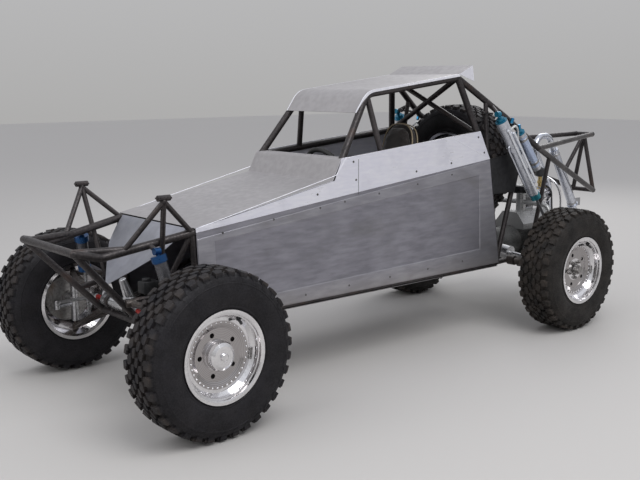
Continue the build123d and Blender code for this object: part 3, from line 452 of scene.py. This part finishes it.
def piece(name, bm, look, angle=35):
    """Finish a bmesh as a piece of the chassis."""
    link(name, close_mesh(bm, name, angle), look, "chassis")


def facing(place, direction):
    """A frame at a place whose Z runs along a direction."""
    return Matrix.Translation(place) @ Vector(direction).to_track_quat("Z", "Y").to_matrix().to_4x4()


def bridge(bm, first, second):
    """Faces between two closed rows of the same number of points."""
    for i in range(len(first)):
        j = (i + 1) % len(first)
        bm.faces.new((first[i], first[j], second[j], second[i]))


def lathe(bm, profile, steps=24, base=Matrix()):
    """Turn a profile of (radius, height) about the base's Z; a radius of 0 closes an end."""
    rows = []
    for radius, up in profile:
        count = steps if radius > 1e-6 else 1
        rows.append([bm.verts.new(base @ Vector((radius * math.cos(math.tau * i / steps),
                                                 radius * math.sin(math.tau * i / steps), up)))
                     for i in range(count)])
    for low, high in zip(rows, rows[1:]):
        for i in range(steps):
            j = i + 1
            corners = [low[i % len(low)], low[j % len(low)], high[j % len(high)], high[i % len(high)]]
            corners = list(dict.fromkeys(corners))
            if len(corners) > 2:
                bm.faces.new(corners)


def rod(bm, start, end, radius, steps=20, chamfer=0.0015, tip=None):
    """A round bar between two points with chamfered ends."""
    start, end = Vector(start), Vector(end)
    tip = radius if tip is None else tip
    length = (end - start).length
    lathe(bm, [(0, 0), (radius - chamfer, 0), (radius, chamfer), (tip, length - chamfer),
               (tip - chamfer, length), (0, length)], steps, facing(start, end - start))


def block(bm, base, dims, bevel=0.002, segments=1):
    """A box of given size about the base's origin, with bevelled edges."""
    made = bmesh.ops.create_cube(bm, size=1, matrix=base @ Matrix.Diagonal((*dims, 1)))
    edges = list(dict.fromkeys(edge for vert in made["verts"] for edge in vert.link_edges))
    bmesh.ops.bevel(bm, geom=edges, offset=bevel, segments=segments, affect="EDGES", profile=0.5)


def bolt(bm, place, out, head=0.0065, high=0.004):
    """A hexagon head on a washer."""
    base = facing(place, out)
    lathe(bm, [(head * 1.45, -0.0005), (head * 1.45, 0.0008), (head * 1.35, 0.0012), (0, 0.0012)], 20, base)
    lathe(bm, [(head, 0.001), (head, high), (head * 0.85, high + 0.0008), (0, high + 0.0008)], 6, base)


def button(bm, place, out, head=0.006):
    """A low domed head with a socket."""
    base = facing(place, out)
    lathe(bm, [(head, -0.0005), (head, 0.0006), (head * 0.85, 0.0022), (head * 0.5, 0.0031),
               (head * 0.42, 0.0031), (head * 0.36, 0.0012), (0, 0.0012)], 16, base)


def pipe(name, points, radius, look, body="chassis", order=3, steps=6, mirror=False):
    """A bent pipe or hose along a smooth line; a mirrored one has its twin on the other side."""
    curve = bpy.data.curves.new(name, "CURVE")
    curve.dimensions = "3D"
    curve.bevel_depth = radius
    curve.bevel_resolution = 4
    curve.resolution_u = steps
    curve.use_fill_caps = True
    for turned in ((False, True) if mirror else (False,)):
        spline = curve.splines.new("NURBS")
        spline.points.add(len(points) - 1)
        for spot, point in zip(spline.points, points):
            spot.co = (*(flip(point) if turned else point), 1)
        spline.order_u = order
        spline.use_endpoint_u = True
    return link(name, curve, look, body)


# Tyres: one mesh for all five, its Z along the axle
pitch_count = 35
pitch = math.tau / pitch_count
crown_half = 0.088          # half width of the tread's shallow crown


def crown(across, middle_r, drop, slope):
    """Radius of a line over the tread: a shallow crown, then a slope to the shoulder."""
    across = abs(across)
    if across < crown_half:
        return middle_r - drop * (across / crown_half) ** 2
    return middle_r - drop - (across - crown_half) * slope


def tread_low(across):
    return crown(across, 0.3615, 0.005, 0.75)


def tread_top(across):
    return crown(across, 0.375, 0.0012, 0.5)


def lug(bm, outline, turn, side):
    """A tread block over an outline of (turn in pitches, distance across), its top drawn in."""
    mid_turn = sum(point[0] for point in outline) / len(outline)
    mid_across = sum(point[1] for point in outline) / len(outline)
    rows = []
    for shrink, rise in ((1.0, -0.15), (0.97, 0.5), (0.95, 0.92), (0.89, 1.0)):
        row = []
        for step, across in outline:
            angle = turn + (mid_turn + (step - mid_turn) * shrink) * pitch
            offset = mid_across + (across - mid_across) * shrink
            low, top = tread_low(offset), tread_top(offset)
            radius = low + (top - low) * rise
            row.append(bm.verts.new((radius * math.cos(angle), radius * math.sin(angle), side * offset)))
        rows.append(row)
    for low_row, high_row in zip(rows, rows[1:]):
        bridge(bm, low_row, high_row)
    bm.faces.new(rows[-1])


def tyre_mesh():
    """The carcass turned from a profile of (radius, across), with its blocks and shoulder ribs."""
    bm = bmesh.new()
    half = [(0.1905, 0.098), (0.196, 0.1015), (0.2085, 0.1035), (0.214, 0.1075), (0.2165, 0.1115),
            (0.2205, 0.1125), (0.225, 0.1115), (0.2285, 0.1135), (0.245, 0.1175), (0.263, 0.1198),
            (0.281, 0.1204), (0.300, 0.1188), (0.317, 0.1155), (0.3185, 0.1165), (0.322, 0.1162),
            (0.3235, 0.1145), (0.335, 0.1105), (0.345, 0.1045), (0.3500, 0.0960), (0.3562, 0.0885),
            (0.3583, 0.070), (0.3604, 0.040), (0.3615, 0.0)]
    profile = half + [(radius, -across) for radius, across in reversed(half[:-1])]
    lathe(bm, profile, 140)
    shoulder = [(-0.32, 0.066), (-0.02, 0.060), (0.02, 0.070), (0.30, 0.068), (0.31, 0.102), (-0.22, 0.104),
                (-0.24, 0.092), (-0.34, 0.090)]
    middle = [(-0.34, 0.031), (0.16, 0.026), (0.36, 0.040), (0.33, 0.057), (-0.14, 0.060), (-0.37, 0.046)]
    inner = [(-0.30, 0.004), (0.26, 0.002), (0.34, 0.013), (0.24, 0.023), (-0.28, 0.026), (-0.36, 0.014)]
    rib = [(0.3500, 0.1016), (0.3400, 0.1094), (0.3290, 0.1144)]
    rib_half = 0.2 * pitch
    for index in range(pitch_count):
        for side, shift in ((1, 0.0), (-1, 0.5)):
            turn = (index + shift) * pitch
            lug(bm, shoulder, turn, side)
            lug(bm, middle, turn + 0.47 * pitch, side)
            lug(bm, inner, turn + 0.02 * pitch, side)
            for (high_r, high_z), (low_r, low_z) in zip(rib, rib[1:]):
                corners = [(high_r, high_z, -rib_half), (high_r, high_z, rib_half), (low_r, low_z, rib_half),
                           (low_r, low_z, -rib_half)]
                bm.faces.new([bm.verts.new((r * math.cos(turn + a), r * math.sin(turn + a), side * z))
                              for r, z, a in corners])
    return close_mesh(bm, "tyre", 28)


# Wheel places: node ending, body, middle and the way that the wheel's outer side faces
wheels = []
for ending in ("front_left", "front_right", "rear_left", "rear_right"):
    wheels.append((ending, "wheel_" + ending, centre("tyre_" + ending), Y if ending.endswith("left") else -Y))
spare_c = centre("spare_tyre")
wheels.append(("spare", "chassis", spare_c, X if centre("spare_rim").x < spare_c.x else -X))


def wheel_frame(middle, out):
    """A frame at a wheel's middle: Z outward, Y up."""
    turned = Matrix((Z.cross(out), Z, out)).transposed()
    return Matrix.Translation(middle) @ turned.to_4x4()


def rivet_mesh():
    """A ring of domed rivets."""
    count, circle = 36, 0.1435
    bm = bmesh.new()
    dome = [(0.0046, -0.0004), (0.0044, 0.001), (0.0034, 0.0024), (0.0018, 0.0032), (0, 0.0034)]
    for index in range(count):
        angle = math.tau * (index + 0.5) / count
        base = Matrix.Translation((circle * math.cos(angle), circle * math.sin(angle), rivet_up))
        lathe(bm, dome, 10, base)
    return close_mesh(bm, "rivets", 50)


def valve_mesh():
    """A rubber valve that leans inward from the barrel."""
    bm = bmesh.new()
    angle = math.radians(90 - 33)
    out = Vector((math.cos(angle), math.sin(angle), 0))
    foot = out * 0.1755 + Vector((0, 0, rivet_up + 0.012))
    tip = out * 0.158 + Vector((0, 0, rivet_up + 0.045))
    way = tip - foot
    long = way.length
    lathe(bm, [(0, 0), (0.011, 0), (0.011, 0.004), (0.008, 0.010), (0.006, 0.020), (0.0055, long - 0.012),
               (0.0068, long - 0.011), (0.0068, long - 0.001), (0, long)], 14, facing(foot, way))
    return close_mesh(bm, "valve")


def weight_mesh():
    """Three balance weights stuck side by side in the barrel."""
    bm = bmesh.new()
    for index in range(3):
        angle = math.radians(-14) + index * 0.105
        out = Vector((math.cos(angle), math.sin(angle), 0))
        base = Matrix.Translation(out * 0.1625 + Vector((0, 0, rivet_up + 0.007)))
        base = base @ Matrix.Rotation(angle, 4, "Z")
        block(bm, base, (0.003, 0.016, 0.010), 0.0008)
    return close_mesh(bm, "weights")


def hub_nut_mesh():
    """Nuts round the open bore of a rear wheel and the dust cap's rim."""
    bm = bmesh.new()
    for index in range(5):
        angle = math.tau * (index + 0.5) / 5 + math.pi / 2
        place = Vector((0.052 * math.cos(angle), 0.052 * math.sin(angle), disc_up))
        base = facing(place, Z)
        lathe(bm, [(0.0125, -0.0005), (0.0125, 0.002), (0.0108, 0.0028), (0, 0.0028)], 20, base)
        lathe(bm, [(0.0098, 0.002), (0.0098, 0.013), (0.0082, 0.0155), (0.0045, 0.0158), (0.0042, 0.020),
                   (0, 0.0205)], 6, base)
    lathe(bm, [(bore_r - 0.0005, disc_up - 0.002), (bore_r - 0.0005, disc_up + 0.0025),
               (bore_r + 0.003, disc_up + 0.003), (bore_r + 0.004, disc_up - 0.001)], 48)
    return close_mesh(bm, "hub_nuts")


def dress_wheels():
    tread = tyre_mesh()
    rivets, valve, weights, nuts = rivet_mesh(), valve_mesh(), weight_mesh(), hub_nut_mesh()
    for ending, body, middle, out in wheels:
        base = wheel_frame(middle, out)
        node = "spare_tyre" if ending == "spare" else "tyre_" + ending
        item = link("tread_" + ending, tread.copy(), dusty_rubber if "rear" in ending else rubber, body, base)
        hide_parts(node)
        parts = [("rivets_", rivets, polished, "polished"), ("valve_", valve, hose_black, "tyre"),
                 ("weights_", weights, turned_steel, "brake_steel")]
        if not ending.startswith("front"):
            parts.append(("hub_nuts_", nuts, turned_steel, "brake_steel"))
        for start, mesh, look, slot in parts:
            link(start + ending, mesh.copy(), look, body, base)


# Side panels: bolts, folded borders and a lap seam
bolt_rows = {
    "border": [(0.299, 0.823), (0.601, 0.857), (0.901, 0.887), (1.07, 0.905), (1.319, 0.928), (1.618, 0.957),
               (1.904, 0.991)],
    "upper": [(0.884, 0.958), (1.608, 1.029), (1.898, 1.058), (1.131, 1.11), (1.15, 1.014), (2.133, 1.198),
              (2.19, 1.104)],
    "low": [(0.802, 0.447), (1.102, 0.452), (1.408, 0.455), (1.714, 0.459), (2.014, 0.465)],
}
lower_border = [(0.156, 0.808), (2.241, 1.056), (2.353, 0.416), (0.176, 0.416)]
lower_inside = [(0.249, 0.790), (2.153, 0.972), (2.176, 0.518), (0.262, 0.474)]


def dress_panels():
    for side, turn in (("left", lambda point: point), ("right", flip)):
        bm = bmesh.new()
        for row in bolt_rows.values():
            for back, up in row:
                button(bm, turn(on_panel(back, up)), turn(Y))
        piece("panel_bolts_" + side, bm, bolt_dark)
        bm = bmesh.new()
        rings = []
        for corners, lift, inset in ((lower_border, 0.0, 0.0), (lower_border, 0.0015, 0.002),
                                     (lower_inside, 0.0015, 0.0), (lower_inside, 0.0, 0.004)):
            mid_back = sum(corner[0] for corner in corners) / 4
            ring = []
            for back, up in corners:
                back += inset if back < mid_back else -inset
                up += inset if up < 0.7 else -inset
                ring.append(bm.verts.new(turn(on_panel(back, up, lift))))
            rings.append(ring)
        for low, high in zip(rings, rings[1:]):
            bridge(bm, low, high)
        piece("panel_border_" + side, bm, border_sheet, 8)
        bm = bmesh.new()
        seam = [(1.166, 0.935), (1.1685, 0.935), (1.1685, 1.122), (1.166, 1.122)]
        front = [bm.verts.new(turn(on_panel(back, up, 0.0004))) for back, up in seam]
        rear = [bm.verts.new(turn(on_panel(back, up, -0.0004))) for back, up in seam]
        bm.faces.new(front)
        bridge(bm, front, rear)
        piece("panel_seam_" + side, bm, dark_gap)


# Folded edges in near-white sheet, a painted highlight: the roof sheet over its rails, and the top of the
# side panels
def rounded(points, radius, steps=8):
    """A line of (back, up) points with its inner corners rounded off."""
    line = [Vector(points[0])]
    for before, corner, after in zip(points, points[1:], points[2:]):
        corner = Vector(corner)
        a, b = (Vector(before) - corner).normalized(), (Vector(after) - corner).normalized()
        half = a.angle(b) / 2
        reach = radius / math.tan(half)
        start, end = corner + a * reach, corner + b * reach
        for index in range(steps + 1):
            spot = start.lerp(corner, index / steps).lerp(corner.lerp(end, index / steps), index / steps)
            line.append(spot)
    return line + [Vector(points[-1])]


def dress_edges():
    """A folded strip along each roof rail and a thin lip on each side panel, both in near-white sheet as a
    painted highlight.
    """
    line = rounded([(1.2342, 1.3483), (1.312, 1.455), (2.059, 1.545)], 0.112)
    for side, name in ((1, "left"), (-1, "right")):
        bm = bmesh.new()
        rows = []
        for index, spot in enumerate(line):
            way = (line[min(index + 1, len(line) - 1)] - line[max(index - 1, 0)]).normalized()
            out = Vector((-way.y, way.x))
            rows.append([])
            for y, lift in ((0.2860, 0.0222), (0.2925, 0.0222), (0.2925, 0.008), (0.2905, 0.008)):
                place = spot + out * lift
                rows[-1].append(bm.verts.new(at(place.x, y * side, place.y)))
        for row, following in zip(rows, rows[1:]):
            bridge(bm, row, following)
        bm.faces.new(rows[0])
        bm.faces.new(rows[-1])
        piece("roof_fold_" + name, bm, painted_highlight_sheet)
        lip = [(0.153, 0.857), (0.998, 1.0185), (1.050, 1.131), (1.110, 1.1345), (2.150, 1.2325),
               (2.2435, 1.063)]
        points = [on_panel(back, up, -0.001) for back, up in lip]
        if side < 0:
            points = [flip(point) for point in points]
        edge = pipe("panel_lip_" + name, points, 0.0019, painted_highlight_sheet, order=2, steps=1)


# Front towers and nose
def dress_nose():
    """Bosses on the towers, and the steering's fluid tank and pump."""
    bm = bmesh.new()
    for side in (1, -1):
        middle = at(-0.037, 0.390 * side, 1.020)
        rod(bm, middle - X * 0.033, middle + X * 0.033, 0.014, 24, 0.002)
        rod(bm, middle - X * 0.036, middle + X * 0.036, 0.0075, 16, 0.001)
    piece("tower_bosses", bm, raw_tube)
    bm = bmesh.new()
    low = at(-0.02, 0.205, 0.560)
    block(bm, Matrix.Translation(low + Vector((0, 0, 0.028))), (0.085, 0.060, 0.056), 0.006, 2)
    rod(bm, low + Vector((0.012, 0, 0.052)), low + Vector((0.012, 0, 0.070)), 0.020, 24, 0.003)
    piece("fluid_tank", bm, hose_black)
    bm = bmesh.new()
    top, foot = at(-0.145, 0.185, 0.640), at(-0.112, 0.185, 0.548)
    rod(bm, foot, top, 0.026, 28, 0.004, tip=0.017)
    rod(bm, foot - Z * 0.012, foot + Z * 0.004, 0.030, 28, 0.003)
    piece("steering_pump", bm, machined)


def dress_rear_shocks():
    """Hoses, bypass pipes, fittings and clamps of the rear shock absorbers, left and right."""
    run = [at(2.405, 0.402, 1.232), at(2.440, 0.410, 1.262), at(2.470, 0.408, 1.235), at(2.486, 0.402, 1.190),
           at(2.488, 0.398, 1.130)]
    pipe("shock_hoses", run, 0.0075, braid, mirror=True)
    run = [at(2.392, 0.430, 1.135), at(2.362, 0.438, 1.148), at(2.340, 0.440, 1.118), at(2.392, 0.441, 1.052),
           at(2.500, 0.446, 0.898), at(2.560, 0.448, 0.812), at(2.590, 0.458, 0.792)]
    pipe("bypass_pipes", run, 0.0068, bright_pipe, mirror=True)
    bm = bmesh.new()
    for side in (1, -1):
        rod(bm, at(2.385, 0.446 * side, 1.118), at(2.452, 0.448 * side, 1.020), 0.009, 16, 0.002)
    piece("bypass_sleeves", bm, red_cap)
    bm = bmesh.new()
    for side in (1, -1):
        rod(bm, at(2.441, 0.392 * side, 1.302), at(2.430, 0.388 * side, 1.270), 0.011, 6, 0.002)
        rod(bm, at(2.504, 0.397 * side, 1.232), at(2.497, 0.397 * side, 1.262), 0.011, 6, 0.002)
        for share in (0.2, 0.33):
            place = rear_shock[0].lerp(rear_shock[1], share)
            place.y *= side
            rod(bm, place, place + Vector((-0.052, 0.004 * side, 0.022)), 0.0085, 6, 0.0015)
    piece("shock_fittings", bm, anodised)
    bm = bmesh.new()
    for side in (1, -1):
        rod(bm, at(2.225, 0.338 * side, 1.338), at(2.312, 0.338 * side, 1.331), 0.006, 12, 0.001)
        rod(bm, at(2.214, 0.338 * side, 1.339), at(2.226, 0.338 * side, 1.338), 0.012, 16, 0.002)
    piece("frame_pins", bm, raw_tube)
    bm = bmesh.new()
    for share in (0.18, 0.82):
        ends = [reservoir[0].lerp(reservoir[1], share + shift) for shift in (-0.028, 0.028)]
        for side in (1, -1):
            pair = [Vector((end.x, end.y * side, end.z)) for end in ends]
            rod(bm, pair[0], pair[1], 0.0325, 32, 0.001)
            ear = facing((pair[0] + pair[1]) / 2 + X * 0.036, reservoir[1] - reservoir[0])
            block(bm, ear, (0.018, 0.012, 0.014), 0.0015)
    piece("tank_clamps", bm, turned_steel)


# Engine: the belt, bolts, the alternator's vents, filler, breather and muffler clamps
def fan_belt(low, low_r, high, high_r):
    """A belt round two pulleys that turn about X."""
    lean = math.asin((low_r - high_r) / (high - low).length)
    path = []
    for middle, radius, start, end in ((high, high_r, lean, math.pi - lean),
                                       (low, low_r, math.pi - lean, math.tau + lean)):
        for index in range(25):
            angle = start + (end - start) * index / 24
            path.append((middle, radius, Vector((0, math.cos(angle), math.sin(angle)))))
    bm = bmesh.new()
    section = [(-0.0055, 0.0), (0.0055, 0.0), (0.0065, 0.006), (-0.0065, 0.006)]
    rows = [[bm.verts.new(middle + out * (radius + lift) + X * shift) for shift, lift in section]
            for middle, radius, out in path]
    for row, following in zip(rows, rows[1:] + rows[:1]):
        bridge(bm, row, following)
    piece("fan_belt", bm, hose_black)


def engine_bolts(low, high):
    """A bolt on each pulley, six on each rocker cover and eight on the air cleaner."""
    bm = bmesh.new()
    for middle, wide in ((low, 0.017), (high, 0.013)):
        bolt(bm, middle - X * 0.010, -X, wide, 0.012)
    for side in (1, -1):
        for shift in (-0.105, 0.0, 0.105):
            for up in (0.402, 0.476):
                bolt(bm, Vector((rear_axle_x - 0.470 + shift, 0.368 * side, up)), Y * side, 0.0055)
    for angle in range(0, 360, 45):
        turn = math.radians(angle)
        place = Vector((rear_axle_x - 0.395 + 0.062 * math.cos(turn), 0.062 * math.sin(turn), 0.815))
        bolt(bm, place, Z, 0.0045)
    piece("engine_bolts", bm, bolt_zinc)


def dress_engine():
    belt_x = rear_axle_x - 0.665
    low, high = Vector((belt_x, 0, crank_up)), Vector((belt_x, 0, alternator_up))
    fan_belt(low, 0.0785, high, 0.0605)
    engine_bolts(low, high)
    bm = bmesh.new()
    face = facing(Vector((rear_axle_x - 0.482, 0, alternator_up)), X)
    lathe(bm, [(0.0575, -0.002), (0.0575, 0.004), (0.050, 0.007), (0.047, 0.004), (0.026, 0.004),
               (0.022, 0.009), (0.010, 0.011), (0, 0.011)], 40, face)
    for index in range(20):
        turn = Matrix.Rotation(math.tau * index / 20, 4, "Z")
        block(bm, face @ turn @ Matrix.Translation((0.036, 0, 0.0045)), (0.024, 0.003, 0.005), 0.0006)
    piece("alternator_vents", bm, machined)
    run = [at(3.308, 0.020, 0.870), at(3.345, 0.060, 0.842), at(3.356, 0.108, 0.800), at(3.378, 0.120, 0.743),
           at(3.392, 0.120, 0.670), at(3.392, 0.116, 0.600), at(3.372, 0.108, 0.548), at(3.318, 0.100, 0.525)]
    pipe("breather_pipe", run, 0.009, polished)
    bm = bmesh.new()
    neck = at(3.300, 0, 0.772)
    rod(bm, neck, neck + Z * 0.090, 0.014, 20, 0.001)
    rod(bm, neck + Z * 0.035, neck + Z * 0.055, 0.020, 6, 0.002)
    piece("filler_neck", bm, brass)
    bm = bmesh.new()
    rod(bm, neck + Z * 0.085, neck + Z * 0.142, 0.034, 12, 0.007)
    piece("filler_cap", bm, hose_black)
    bm = bmesh.new()
    low_end, top_end = at(3.716, 0, 0.622), at(3.449, 0, 1.038)
    way = (top_end - low_end).normalized()
    for share in (0.035, 0.93):
        spot = low_end.lerp(top_end, share)
        rod(bm, spot - way * 0.009, spot + way * 0.009, 0.0355, 40, 0.001)
        block(bm, facing(spot - X * 0.042, way), (0.016, 0.014, 0.018), 0.001)
    block(bm, Matrix.Translation(low_end + Vector((-0.058, 0, 0.012))), (0.085, 0.004, 0.058), 0.001)
    piece("muffler_clamps", bm, bolt_zinc)


# Seat: cushions swollen by a cloth simulation, with sewn channels and piping
seat_low = at(1.755, 0, 0.426)
seat_up = (at(1.885, 0, 1.178) - seat_low).normalized()
seat_out = Y.cross(seat_up)


def on_seat(side, up, out):
    """A point by its distance sideways, up the back and out of the back's face."""
    return seat_low + Y * side + seat_up * up + seat_out * out


def pad_mesh(corners, low, high, place, round_off):
    """A pad over an outline, from low to high, with softened edges."""
    bm = bmesh.new()
    rows = []
    mid = (sum(c[0] for c in corners) / len(corners), sum(c[1] for c in corners) / len(corners))
    for shrink, out in ((round_off, low), (0.0, low + (high - low) * 0.35), (0.0, low + (high - low) * 0.65),
                        (round_off, high)):
        row = []
        for a, b in corners:
            da, db = a - mid[0], b - mid[1]
            reach = math.hypot(da, db)
            row.append(bm.verts.new(place(a - da / reach * shrink, b - db / reach * shrink, out)))
        rows.append(row)
    for first, second in zip(rows, rows[1:]):
        bridge(bm, first, second)
    bm.faces.new(rows[0])
    bm.faces.new(rows[-1])
    return close_mesh(bm, "pad", 180)


def soften(item, levels):
    """Subdivide a pad into a rounded form and apply it."""
    bpy.context.view_layer.objects.active = item
    rounding = item.modifiers.new("round", "SUBSURF")
    rounding.levels = levels
    bpy.ops.object.modifier_apply(modifier="round")
    item.data.shade_smooth()


def swell(item, cap, voxel=0.006, frames=15):
    """Remesh a pad and blow it up as cloth under pressure; no point moves past the cap."""
    bpy.context.view_layer.objects.active = item
    remesh = item.modifiers.new("remesh", "REMESH")
    remesh.mode = "VOXEL"
    remesh.voxel_size = voxel
    bpy.ops.object.modifier_apply(modifier="remesh")
    start = [vert.co.copy() for vert in item.data.vertices]
    cloth = item.modifiers.new("cloth", "CLOTH")
    cloth.settings.use_pressure = True
    cloth.settings.uniform_pressure_force = 4
    cloth.settings.effector_weights.gravity = 0
    cloth.settings.quality = 4
    scene = bpy.context.scene
    for number in range(1, frames + 1):
        scene.frame_set(number)
    swollen = item.evaluated_get(bpy.context.evaluated_depsgraph_get()).to_mesh()
    moved = [vert.co.copy() for vert in swollen.vertices]
    item.modifiers.remove(cloth)
    scene.frame_set(1)
    for vert, old, new in zip(item.data.vertices, start, moved):
        way = new - old
        if way.length > cap:
            way *= cap / way.length
        vert.co = old + way
    item.data.shade_smooth()


def sew(item, lines, origin, way, out, depth=0.006, wide=0.009):
    """Press sewn channels into a pad's outer side, at distances from the origin along a way."""
    for vert in item.data.vertices:
        spot = (vert.co - origin).dot(way)
        front = (vert.co - origin).dot(out)
        if front < 0:
            continue
        for line in lines:
            share = abs(spot - line) / wide
            if share < 1:
                vert.co -= out * depth * (1 - share) ** 2


shell_outline = [(0.208, 0.0), (0.210, 0.46), (0.192, 0.55), (0.142, 0.64), (0.121, 0.71), (0.115, 0.765),
                 (0.098, 0.812), (0.066, 0.842), (0.024, 0.853)]


def pan_place(back, side, out):
    """A point over the seat's pan."""
    return at(back, side, 0.476 + out)


def dress_seat():
    loop = shell_outline + [(-across, up) for across, up in reversed(shell_outline)]
    shell = link("seat_shell", pad_mesh(loop, -0.004, 0.042, on_seat, 0.008), seat_cloth, "chassis")
    soften(shell, 2)
    pan = pad_mesh([(1.362, -0.206), (1.362, 0.206), (1.80, 0.206), (1.80, -0.206)], -0.048, 0.002,
                   pan_place, 0.008)
    pan = link("seat_pan", pan, seat_cloth, "chassis")
    soften(pan, 2)
    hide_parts("seat")
    base = pad_mesh([(1.385, -0.16), (1.385, 0.16), (1.735, 0.165), (1.735, -0.165)], -0.004, 0.040,
                    pan_place, 0.012)
    back = pad_mesh([(-0.155, 0.10), (0.155, 0.10), (0.160, 0.50), (0.130, 0.60), (-0.130, 0.60),
                     (-0.160, 0.50)], 0.036, 0.074, on_seat, 0.012)
    head = pad_mesh([(-0.108, 0.645), (0.108, 0.645), (0.100, 0.755), (0.082, 0.800), (0.045, 0.828),
                     (-0.045, 0.828), (-0.082, 0.800), (-0.100, 0.755)], 0.034, 0.066, on_seat, 0.010)
    pads = [("seat_base", base, 0.014, ((1.46, 1.54, 1.62), at(0, 0, 0.506), -X, Z)),
            ("seat_back", back, 0.014, ((0.20, 0.28, 0.36, 0.44, 0.52), seat_low + seat_out * 0.06, seat_up,
                                        seat_out)),
            ("seat_head", head, 0.012, None)]
    for side, name in ((1, "left"), (-1, "right")):
        wing = pad_mesh([(0.030, -0.060), (0.500, -0.050), (0.560, -0.004), (0.540, 0.060), (0.480, 0.098),
                         (0.030, 0.125)], 0.172, 0.216,
                        lambda up, out, across: on_seat(across * side, up, out), 0.008)
        pads.append(("seat_bolster_" + name, wing, 0.008, None))
        thigh = pad_mesh([(1.352, 0.44), (1.352, 0.515), (1.51, 0.545), (1.79, 0.620), (1.79, 0.44)], 0.172,
                         0.216, lambda behind, up, across: at(behind, across * side, up), 0.006)
        pads.append(("seat_thigh_" + name, thigh, 0.008, None))
    for name, mesh, cap, sewn in pads:
        item = link(name, mesh, seat_cloth, "chassis")
        swell(item, cap)
        if sewn:
            sew(item, *sewn)
    edge = [(0.21, 0.30)] + shell_outline[1:]
    for name, out in (("front", 0.041), ("rear", -0.003)):
        points = [on_seat(across + 0.001, up + 0.001, out) for across, up in edge]
        points += [flip(point) for point in reversed(points)]
        pipe("seat_piping_" + name, points, 0.0042, piping)


# Floor, lamps and camera
def stage_floor():
    bpy.ops.mesh.primitive_plane_add(size=60, location=(0, 0, min(0, cad_box[0][2]) - 0.0005))
    floor = bpy.context.object
    floor.name = "floor"
    material = bpy.data.materials.new("pale_floor")
    material.use_nodes = True
    shader = material.node_tree.nodes["Principled BSDF"]
    shader.inputs["Base Color"].default_value = (0.5, 0.485, 0.47, 1)
    shader.inputs["Roughness"].default_value = 0.85
    floor.data.materials.append(material)


def lamp(name, place, target, power, span):
    data = bpy.data.lights.new(name, "AREA")
    data.energy = power
    data.size = span
    item = bpy.data.objects.new(name, data)
    bpy.context.collection.objects.link(item)
    item.location = place
    item.rotation_euler = (Vector(target) - Vector(place)).to_track_quat("-Z", "Y").to_euler()


def sky():
    """A soft sky, bright overhead and a pale grey at the horizon."""
    world = bpy.data.worlds.new("soft_sky")
    bpy.context.scene.world = world
    world.use_nodes = True
    tree = world.node_tree
    place = add_node(tree, "ShaderNodeTexCoord")
    split = add_node(tree, "ShaderNodeSeparateXYZ", Vector=place.outputs["Generated"])
    height = band(tree, split.outputs[2], -0.05, 0.75)
    light = tree.nodes["Background"]
    tree.links.new(mix(tree, height, (0.52, 0.515, 0.51), (0.92, 0.94, 1.0)), light.inputs["Color"])
    light.inputs["Strength"].default_value = 0.8


def photo_camera():
    """The camera at the photograph's place, turned by yaw, pitch and roll in degrees."""
    place = at(-2.1229, 3.8289, 1.5193)
    yaw, tilt, roll = (math.radians(angle) for angle in (-131.083, -9.849, 0.1405))
    focal_px = 906.9
    photo_px = 640
    data = bpy.data.cameras.new("camera")
    data.sensor_width = 36
    data.lens = focal_px / photo_px * data.sensor_width
    item = bpy.data.objects.new("camera", data)
    bpy.context.collection.objects.link(item)
    level = math.cos(tilt)
    ahead = Vector((level * math.cos(yaw), level * math.sin(yaw), math.sin(tilt)))
    turned = Matrix.Rotation(roll, 3, ahead) @ ahead.to_track_quat("-Z", "Y").to_matrix()
    item.matrix_world = Matrix.Translation(place) @ turned.to_4x4()
    bpy.context.scene.camera = item


dress_wheels()
dress_panels()
dress_edges()
dress_nose()
dress_rear_shocks()
dress_engine()
dress_seat()
stage_floor()
sky()
lamp("key", (1.5, 5.0, 7.0), (0, 0, 0.6), 300, 5.0)
lamp("fill", (6.0, 0.0, 4.5), (0, 0, 0.6), 90, 4.0)
lamp("rear", (-6.0, -3.0, 5.0), (0, 0, 0.8), 110, 4.0)
photo_camera()
bpy.context.scene.view_settings.view_transform = "Standard"
